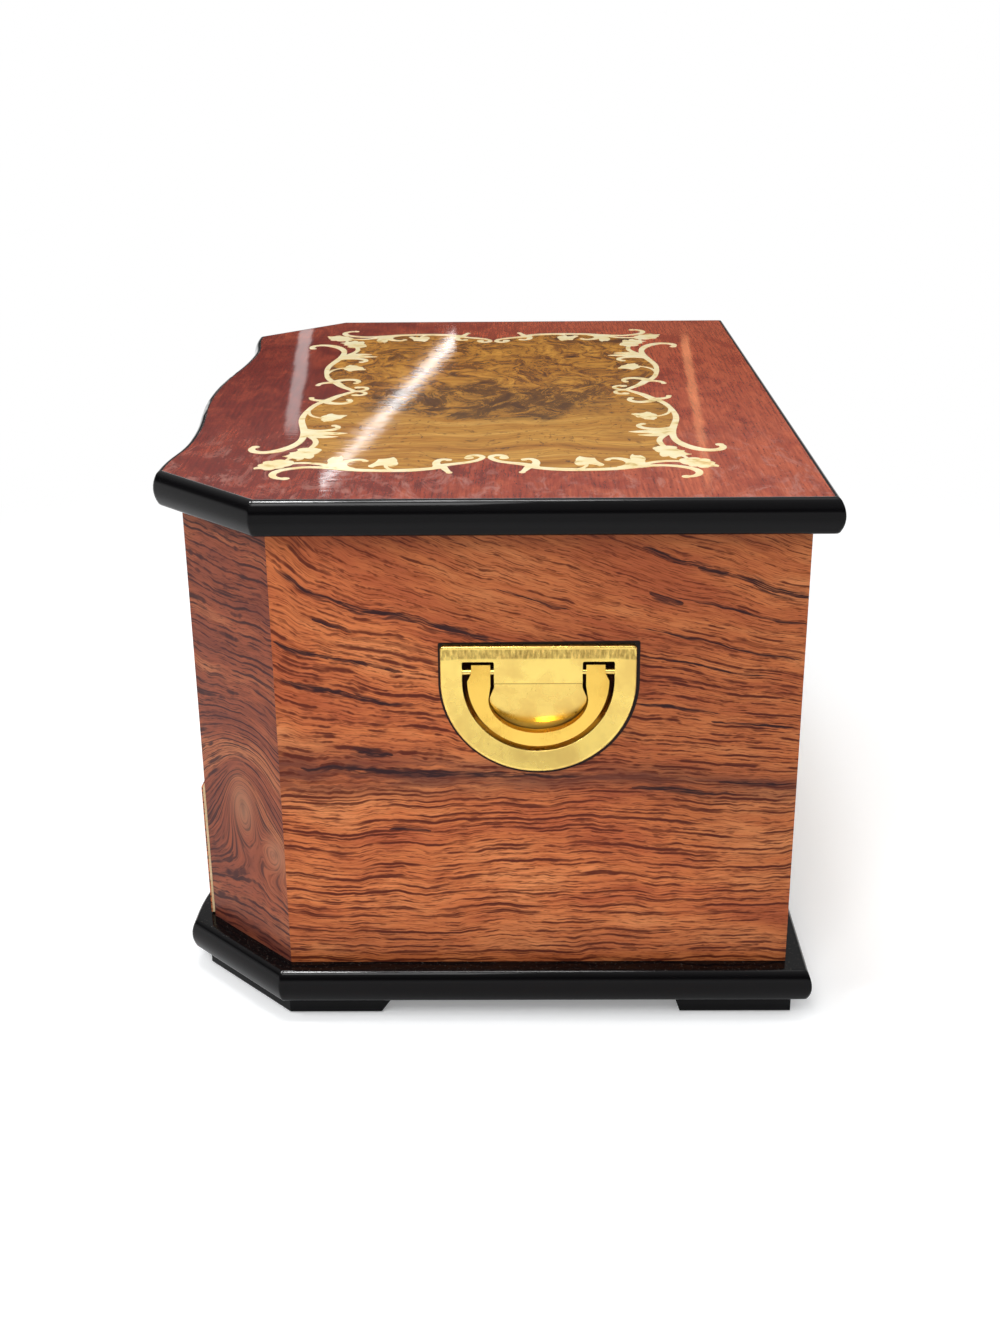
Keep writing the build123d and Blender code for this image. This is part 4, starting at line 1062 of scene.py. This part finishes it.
@dataclass
class RingRolls:
    """Padded velvet rolls that hold rings between them.

    Attributes:
        count: number of rolls.
        width: width of one roll.
        spare: room kept at each side.
        sides: corners of its round section.
        cuts: slices along it.
        tip: share of its length in which an end draws in.
        draw: share by which it draws in.
        voxel: mesh size of the cloth.
        swell: most that the stuffing may push the cloth.
        grown: scale at which the cloth is worked out.
        frames: length of that simulation.
        pressure: pressure of the stuffing.
        rim: height of the glued edge at that scale.
    """

    count: int = 7
    width: float = 0.0146
    spare: float = 0.0002
    sides: int = 28
    cuts: int = 40
    tip: float = 0.06
    draw: float = 0.30
    voxel: float = 0.0017
    swell: float = 0.0007
    grown: float = 20.0
    frames: int = 20
    pressure: float = 4.0
    rim: float = 0.05

    def build(self, finish: bpy.types.Material) -> list[bpy.types.Object]:
        """Make the rolls in their places.

        Args:
            finish: the velvet.

        Returns:
            The rolls.
        """
        low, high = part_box("ring_rolls")
        pitch = (high.y - low.y - self.width) / (self.count - 1)
        first = self.roll(low, high, finish)
        self.stuff(first, low, high)
        rolls = [first]
        for number in range(1, self.count):
            copy = first.copy()
            copy.data = first.data.copy()
            copy.data.transform(Matrix.Translation((0.0, number * pitch, 0.0)))
            copy.name = f"ring_roll_{number + 1}"
            bpy.context.scene.collection.objects.link(copy)
            rolls.append(copy)
        for roll in rolls:
            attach(roll, "case")
        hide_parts("ring_rolls")
        return rolls

    def roll(self, low: Vector, high: Vector, finish: bpy.types.Material) -> bpy.types.Object:
        """Model one roll: a tube drawn in at its ends, flat below, crowned above.

        Args:
            low: lowest corner of all the rolls.
            high: highest corner of all the rolls.
            finish: the velvet.

        Returns:
            The first roll.
        """
        bpy.ops.object.select_all(action="DESELECT")
        length, tall = high.x - low.x, high.z - low.z
        bpy.ops.mesh.primitive_cylinder_add(
            vertices=self.sides, radius=0.5, depth=1.0, end_fill_type="TRIFAN",
            rotation=(0.0, math.pi / 2, 0.0))
        roll = bpy.context.object
        roll.name = "ring_roll_1"
        bpy.ops.object.transform_apply(location=True, rotation=True, scale=True)
        bpy.ops.object.mode_set(mode="EDIT")
        bpy.ops.mesh.select_all(action="SELECT")
        bpy.ops.mesh.bisect(plane_co=(0, 0, 0), plane_no=(1, 0, 0))
        for number in range(1, self.cuts):
            bpy.ops.mesh.select_all(action="SELECT")
            bpy.ops.mesh.bisect(plane_co=(number / self.cuts - 0.5, 0, 0), plane_no=(1, 0, 0))
        bpy.ops.object.mode_set(mode="OBJECT")
        middle = Vector(((low.x + high.x) / 2, low.y + self.width / 2, low.z))
        wide = self.width - 2 * self.spare
        for vertex in roll.data.vertices:
            x, y, z = vertex.co
            end = max(0.0, abs(x) - (0.5 - self.tip)) / self.tip
            draw = 1.0 - self.draw * end ** 2.2
            seam = 0.018 * math.exp(-((y / 0.05) ** 2)) if z > 0 else 0.0
            lift = (z + 0.5) ** 0.92 - seam
            pucker = 1.0 + 0.02 * math.sin(x * 61.0 + 3.0 * z) * math.sin(math.pi * (z + 0.5))
            vertex.co = middle + Vector((x * length * (1.0 - 0.004 * end), y * wide * draw * pucker,
                                         lift * tall * (0.25 + 0.75 * draw)))
        bpy.ops.object.shade_smooth()
        roll.data.materials.append(finish)
        return roll

    def stuff(self, roll: bpy.types.Object, low: Vector, high: Vector) -> None:
        """Let the roll swell like stuffed cloth that is glued down and closed at its ends.

        The cloth is worked out at a greater size, where the solver behaves well.

        Args:
            roll: the first roll.
            low: lowest corner of all the rolls.
            high: highest corner of all the rolls.
        """
        scene, grown = bpy.context.scene, self.grown
        bpy.ops.object.select_all(action="DESELECT")
        roll.select_set(True)
        bpy.context.view_layer.objects.active = roll
        remesh = roll.modifiers.new("even_mesh", "REMESH")
        remesh.mode, remesh.voxel_size = "VOXEL", self.voxel
        bpy.ops.object.modifier_apply(modifier="even_mesh")
        base = Vector((low.x, low.y, low.z))
        roll.data.transform(Matrix.Scale(grown, 4) @ Matrix.Translation(-base))
        start = [vertex.co.copy() for vertex in roll.data.vertices]
        length = (high.x - low.x) * grown
        glued = roll.vertex_groups.new(name="glued")
        held = [i for i, co in enumerate(start)
                if min(co.x, length - co.x, co.z) < self.rim]
        glued.add(held, 1.0, "REPLACE")
        cloth = roll.modifiers.new("stuffing", "CLOTH")
        settings = cloth.settings
        settings.quality, settings.vertex_group_mass = 5, "glued"
        settings.use_pressure, settings.uniform_pressure_force = True, self.pressure
        settings.shrink_min, settings.effector_weights.gravity = -0.05, 0.0
        settings.bending_stiffness = 0.2
        cloth.point_cache.frame_start, cloth.point_cache.frame_end = 1, self.frames
        for number in range(1, self.frames + 1):
            scene.frame_set(number)
        moved = roll.evaluated_get(bpy.context.evaluated_depsgraph_get()).data.vertices
        ends = [vertex.co.copy() for vertex in moved]
        roll.modifiers.remove(cloth)
        scene.frame_set(1)
        most, half = self.swell * grown, (self.width - 2 * self.spare) / 2 * grown
        middle = self.width / 2 * grown
        for vertex, before, after in zip(roll.data.vertices, start, ends):
            push = after - before
            if push.length > most:
                push *= most / push.length
            place = before + push
            place.y = min(max(place.y, middle - half), middle + half)
            place.z = min(max(place.z, 0.0), (high.z - low.z) * grown)
            place.x = min(max(place.x, 0.004), length - 0.004)
            vertex.co = place
        roll.data.transform(Matrix.Translation(base) @ Matrix.Scale(1 / grown, 4))
        finer = roll.modifiers.new("finer", "SUBSURF")
        finer.levels = finer.render_levels = 1
        bpy.ops.object.modifier_apply(modifier="finer")
        bpy.ops.object.shade_smooth()


# The lid's near corner, at which the lamps for its edge aim
LID_CORNER = (0.197, -0.09, 0.23)


@dataclass
class Studio:
    """Floor, lamps and world.

    Attributes:
        floor_size: side of the floor.
        ambient: strength of the world on the object.
        room: what gloss shows of the room: height between 0 and 1, and brightness.
        lid: middle of the lid's top.
        lamps: area lamps: name, place, aim, two sides, power, and whether only gloss shows it.
        tubes: lit shapes in the lid's gloss: name, two ends, width, radiance, colour.
    """

    floor_size: float = 14.0
    ambient: float = 0.60
    room: tuple[tuple[float, float], ...] = (
        (0.0, 1.0), (0.09, 0.12), (0.19, 0.07), (0.25, 0.20), (0.31, 0.34), (0.55, 0.60),
        (0.85, 1.0))
    lid: Colour = (0.0, 0.0, 0.23)
    lamps: tuple[tuple[str, Colour, Colour, float, float, float, bool], ...] = (
        ("key_lamp", (1.5, -0.35, 1.6), (0.0, 0.0, 0.12), 0.7, 0.7, 15.0, False),
        ("soft_lamp", (0.1, 0.3, 2.2), (0.0, 0.0, 0.2), 0.9, 0.9, 4.5, False),
        ("top_lamp", (0.25, -0.215, 1.9), (0.25, -0.215, 0.2), 0.40, 0.30, 6.0, False),
        ("shoulder_strip", (0.26, -0.31, 1.9), LID_CORNER, 0.30, 0.12, 19.0, True),
        ("shoulder_tail", (0.26, -0.02, 1.9), LID_CORNER, 0.24, 0.46, 14.0, True),
        ("corner_patch", (-0.06, -1.06, 1.85), LID_CORNER, 0.45, 0.45, 90.0, True),
        ("corner_lamp", (0.67, -1.09, 1.24), LID_CORNER, 0.16, 0.16, 4.5, False))
    tubes: tuple[tuple[str, Colour, Colour, float, float, Colour], ...] = (
        ("tube_lamp", (-1.245, -0.099, 0.476), (-1.030, -0.181, 0.538), 0.008, 4.6, WHITE),
        ("window_left", (-1.301, -0.262, 0.454), (-1.150, -0.246, 0.492), 0.016, 0.8, WHITE),
        ("window_right", (-1.204, 0.234, 0.478), (-1.041, 0.222, 0.529), 0.010, 1.0,
         (1.0, 0.45, 0.2)))

    def build(self) -> None:
        """Make the floor, the lamps and the world."""
        bpy.ops.object.select_all(action="DESELECT")
        bpy.ops.mesh.primitive_plane_add(size=self.floor_size, location=(0.0, 0.0, 0.0))
        floor = bpy.context.object
        floor.name = "studio_floor"
        floor.data.materials.append(FloorPaint().build())
        self.world()
        for *lamp, gloss_only in self.lamps:
            self.lamp(*lamp).visible_diffuse = not gloss_only
        for tube in self.tubes:
            self.tube(*tube)

    def world(self) -> None:
        """White backdrop near the horizon, a dimmer room above, even light on the object."""
        world = bpy.data.worlds.new("studio_world")
        bpy.context.scene.world = world
        bench = Bench(world, "Generated", 1.0)
        camera, gloss = bench.rays()
        room = bench.ramp(bench.z, [(place, (glow,) * 3) for place, glow in self.room])
        unseen = bench.add("MixShader", gloss, bench.add("Background", WHITE, self.ambient),
                           bench.add("Background", WHITE, room))
        both = bench.add("MixShader", camera, unseen, bench.add("Background", WHITE, 1.0))
        bench.close(both, "OutputWorld")

    def lamp(self, name: str, place: Colour, aim: Colour, wide: float, deep: float,
             watts: float) -> bpy.types.Object:
        """Hang an area lamp.

        Args:
            name: name of the lamp.
            place: its place.
            aim: the point it faces.
            wide: its first side.
            deep: its second side.
            watts: its power.

        Returns:
            The lamp.
        """
        data = bpy.data.lights.new(name, "AREA")
        data.shape, data.size, data.size_y, data.energy = "RECTANGLE", wide, deep, watts
        lamp = bpy.data.objects.new(name, data)
        bpy.context.scene.collection.objects.link(lamp)
        lamp.location = place
        lamp.rotation_euler = (Vector(aim) - Vector(place)).to_track_quat("-Z", "Y").to_euler()
        return lamp

    def tube(self, name: str, start: Colour, end: Colour, width: float, glow: float,
             colour: Colour) -> None:
        """Hang a lamp tube that the gloss of the lid shows.

        Args:
            name: name of the tube.
            start: one end.
            end: the other end.
            width: its width.
            glow: its radiance.
            colour: its colour.
        """
        first, last = Vector(start), Vector(end)
        along = last - first
        middle = (first + last) / 2
        lamp = self.lamp(name, tuple(middle), self.lid, along.length, width,
                         glow * math.pi * along.length * width)
        ahead = (Vector(self.lid) - middle).normalized()
        across = along.normalized().cross(ahead).normalized()
        level = ahead.cross(across).normalized()
        lamp.rotation_euler = Matrix((level, across, -ahead)).transposed().to_euler()
        lamp.data.color = colour


@dataclass
class PhotoCamera:
    """Camera at the photograph's place.

    Attributes:
        place: where it stands.
        pitch: degrees down.
        yaw: degrees to the right.
        roll: degrees of roll.
        focal: focal length in pixels.
        tall: height of the picture in pixels.
    """

    place: Colour = (0.8051, 0.01175, 0.4103)
    pitch: float = 21.78
    yaw: float = -0.58
    roll: float = -0.47
    focal: float = 1643.15
    tall: float = 1333.0

    def build(self) -> None:
        """Make the camera and set it as the scene's."""
        pitch, yaw, roll = (math.radians(a) for a in (self.pitch, self.yaw, self.roll))
        level_part = math.cos(pitch)
        ahead = Vector((-math.cos(yaw) * level_part, math.sin(yaw) * level_part, -math.sin(pitch)))
        level = Vector((math.sin(yaw), math.cos(yaw), 0.0))
        above = level.cross(ahead)
        right = math.cos(roll) * level + math.sin(roll) * above
        top = math.cos(roll) * above - math.sin(roll) * level
        data = bpy.data.cameras.new("photo_camera")
        data.sensor_width, data.sensor_fit = 36.0, "AUTO"
        data.lens = self.focal / self.tall * data.sensor_width
        data.clip_start, data.clip_end = 0.01, 100.0
        camera = bpy.data.objects.new("photo_camera", data)
        bpy.context.scene.collection.objects.link(camera)
        turn = Matrix((right, top, -ahead)).transposed().to_4x4()
        camera.matrix_world = Matrix.Translation(self.place) @ turn
        bpy.context.scene.camera = camera


# What the photo shows on the side wall and on the corner post, in millimetres
SIDE_STREAKS = tuple(Streak(*row) for row in (
    (168.5, -84.0, 16.0, 3.6), (160.0, -70.0, -54.0, 3.2), (148.5, -86.0, -34.0, 2.6),
    (137.0, -88.0, -30.0, 2.4), (118.0, -58.0, -39.0, 3.2), (112.5, -78.0, 40.0, 2.8),
    (88.5, -42.0, -24.0, 1.6), (230.0, 62.0, 90.0, 4.0), (228.0, 84.0, 132.0, 6.5),
    (208.5, 65.0, 79.0, 5.0), (211.0, 76.0, 130.0, 2.2), (190.0, 60.0, 128.0, 1.6),
    (176.0, 60.0, 126.0, 1.6), (152.0, 62.0, 96.0, 2.2), (147.0, 92.0, 126.0, 2.4),
    (106.0, 60.0, 104.0, 3.0), (112.5, 96.0, 128.0, 2.4), (190.0, 4.0, 34.0, 1.8)))
POST_KNOTS = tuple(Knot((side * x, y, z), *rest) for side in (1, -1) for x, y, z, *rest in (
    (166.3, -107.0, 91.0, 9.0, 14.0, -20.0, 0.55),
    (168.0, -105.0, 92.0, 26.0, 34.0, -34.0, 0.0),
    (182.0, -91.0, 75.0, 8.0, 9.0, -14.0, 0.50)))
POST_LINES = (
    Strokes(4.6, 1.15, 0.36, 0.56, 0.030, 0.95), Strokes(2.5, 0.85, 0.43, 0.58, 0.050, 0.85),
    Strokes(8.5, 2.40, 0.50, 0.64, 0.045, 0.92))
FRONT_KNOTS = (Knot((20.0, -128.0, 60.0), 24.0, 14.0, -24.0, 0.4),)


@dataclass
class Chest:
    """The whole chest: every part with its finish."""

    dresser: Dresser = field(default_factory=Dresser)

    def case(self) -> None:
        """Dress the case."""
        dress = self.dresser.dress
        dress(BlackLacquer().build(), "base_board", "lid_board")
        dress(BlackLacquer("foot_lacquer", 0.0008).build(), "foot_front_left", "foot_front_right",
              "foot_back_left", "foot_back_right")
        dress(Rosewood(streaks=SIDE_STREAKS, seat=(21.0, 156.8, 39.75, 172.7)).build(),
              "side_veneers")
        dress(Rosewood("rosewood_post", 21.0, (0.40, 0.132, 0.054), (0.27, 0.066, 0.028),
                       (0.18, 0.040, 0.021), line=(0.034, 0.006, 0.007), slope=0.0012,
                       knots=POST_KNOTS, band=30.0, families=POST_LINES).build(),
              "post_veneers")
        dress(Rosewood("rosewood_front", 47.0, knots=FRONT_KNOTS, band=118.0,
                       streaks=(Streak(150.0, -260.0, 0.0, 2.0),)).build(),
              "front_panel_veneer", "upper_drawer_front_veneer", "lower_drawer_front_veneer")
        dress(PlainWood("case_wood_tall", Way.TALL).build(), "side_panel_left",
              "side_panel_right", "corner_post_left", "corner_post_right")
        dress(PlainWood("back_wood", Way.WIDE, (0.66, 0.40, 0.19), (0.44, 0.23, 0.09)).build(),
              "back_panel")
        dress(PlainWood("case_wood_wide").build(), "front_panel", "middle_deck",
              "compartment_floor", "drawer_stops", "upper_drawer_back", "lower_drawer_back",
              "upper_drawer_bottom", "lower_drawer_bottom")
        dress(PlainWood("front_wood", Way.WIDE, (0.78, 0.62, 0.38), (0.56, 0.40, 0.20)).build(),
              "upper_drawer_front", "lower_drawer_front")
        dress(PlainWood("case_wood_deep", Way.DEEP).build(), "drawer_guides", "upper_drawer_sides",
              "lower_drawer_sides")

    def lid(self) -> None:
        """Dress the lid's top and the mirror."""
        dress = self.dresser.dress
        dress(RedVeneer().build(), "lid_border_veneer")
        dress(BurlVeneer().build(), "lid_burl_veneer")
        dress(PaleInlay().build(), "lid_scroll_inlay")
        dress(MirrorGlass().build(), "lid_mirror")

    def fittings(self) -> None:
        """Dress the brass, the screws and the pads."""
        dress = self.dresser.dress
        brass = Metal("brass", (0.93, 0.68, 0.20), (0.80, 0.54, 0.15)).build()
        dress(PlateBrass().build(), "handle_plate_left", "handle_plate_right")
        dress(Metal("bail_brass", (0.84, 0.54, 0.110), (0.70, 0.42, 0.076)).build(),
              "bail_left", "bail_right")
        dress(brass, "handle_pins", "upper_drawer_knobs", "lower_drawer_knobs",
              "hinge_case_leaves", "hinge_lid_leaves", "hinge_pins", "mirror_frame",
              "hinge_case_screws", "hinge_lid_screws")
        steel = Metal("steel", (0.62, 0.62, 0.63), (0.45, 0.45, 0.46), 0.25, 0.45).build()
        dress(steel, "handle_screws", "upper_drawer_knob_screws", "lower_drawer_knob_screws")
        dress(Cloth("pad_felt", (0.03, 0.03, 0.03), (0.06, 0.06, 0.055), 0.3).build(), "felt_pads")

    def linings(self) -> None:
        """Dress the velvet and make the ring rolls."""
        velvet = Cloth("velvet", (0.150, 0.007, 0.013), (0.225, 0.016, 0.026), 0.45).build()
        self.dresser.dress(velvet, "compartment_lining", "compartment_dividers", "lid_lining",
                           "upper_drawer_lining", "upper_drawer_dividers", "lower_drawer_lining")
        rolls = RingRolls().build(velvet)
        self.dresser.done.add("ring_rolls")
        log.info("made %d ring rolls", len(rolls))

    def build(self) -> None:
        """Dress every part."""
        self.case()
        self.lid()
        self.fittings()
        self.linings()
        left = sorted(set(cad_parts) - self.dresser.done)
        log.info("parts without a finish: %s", left or "none")


def main() -> None:
    """Dress the chest, light it and place the camera."""
    logging.basicConfig(level=logging.INFO, format="%(name)s: %(message)s")
    bpy.context.scene.view_settings.view_transform = "Standard"
    Chest().build()
    Studio().build()
    PhotoCamera().build()
    bpy.context.view_layer.update()


if __name__ == "__main__":
    main()
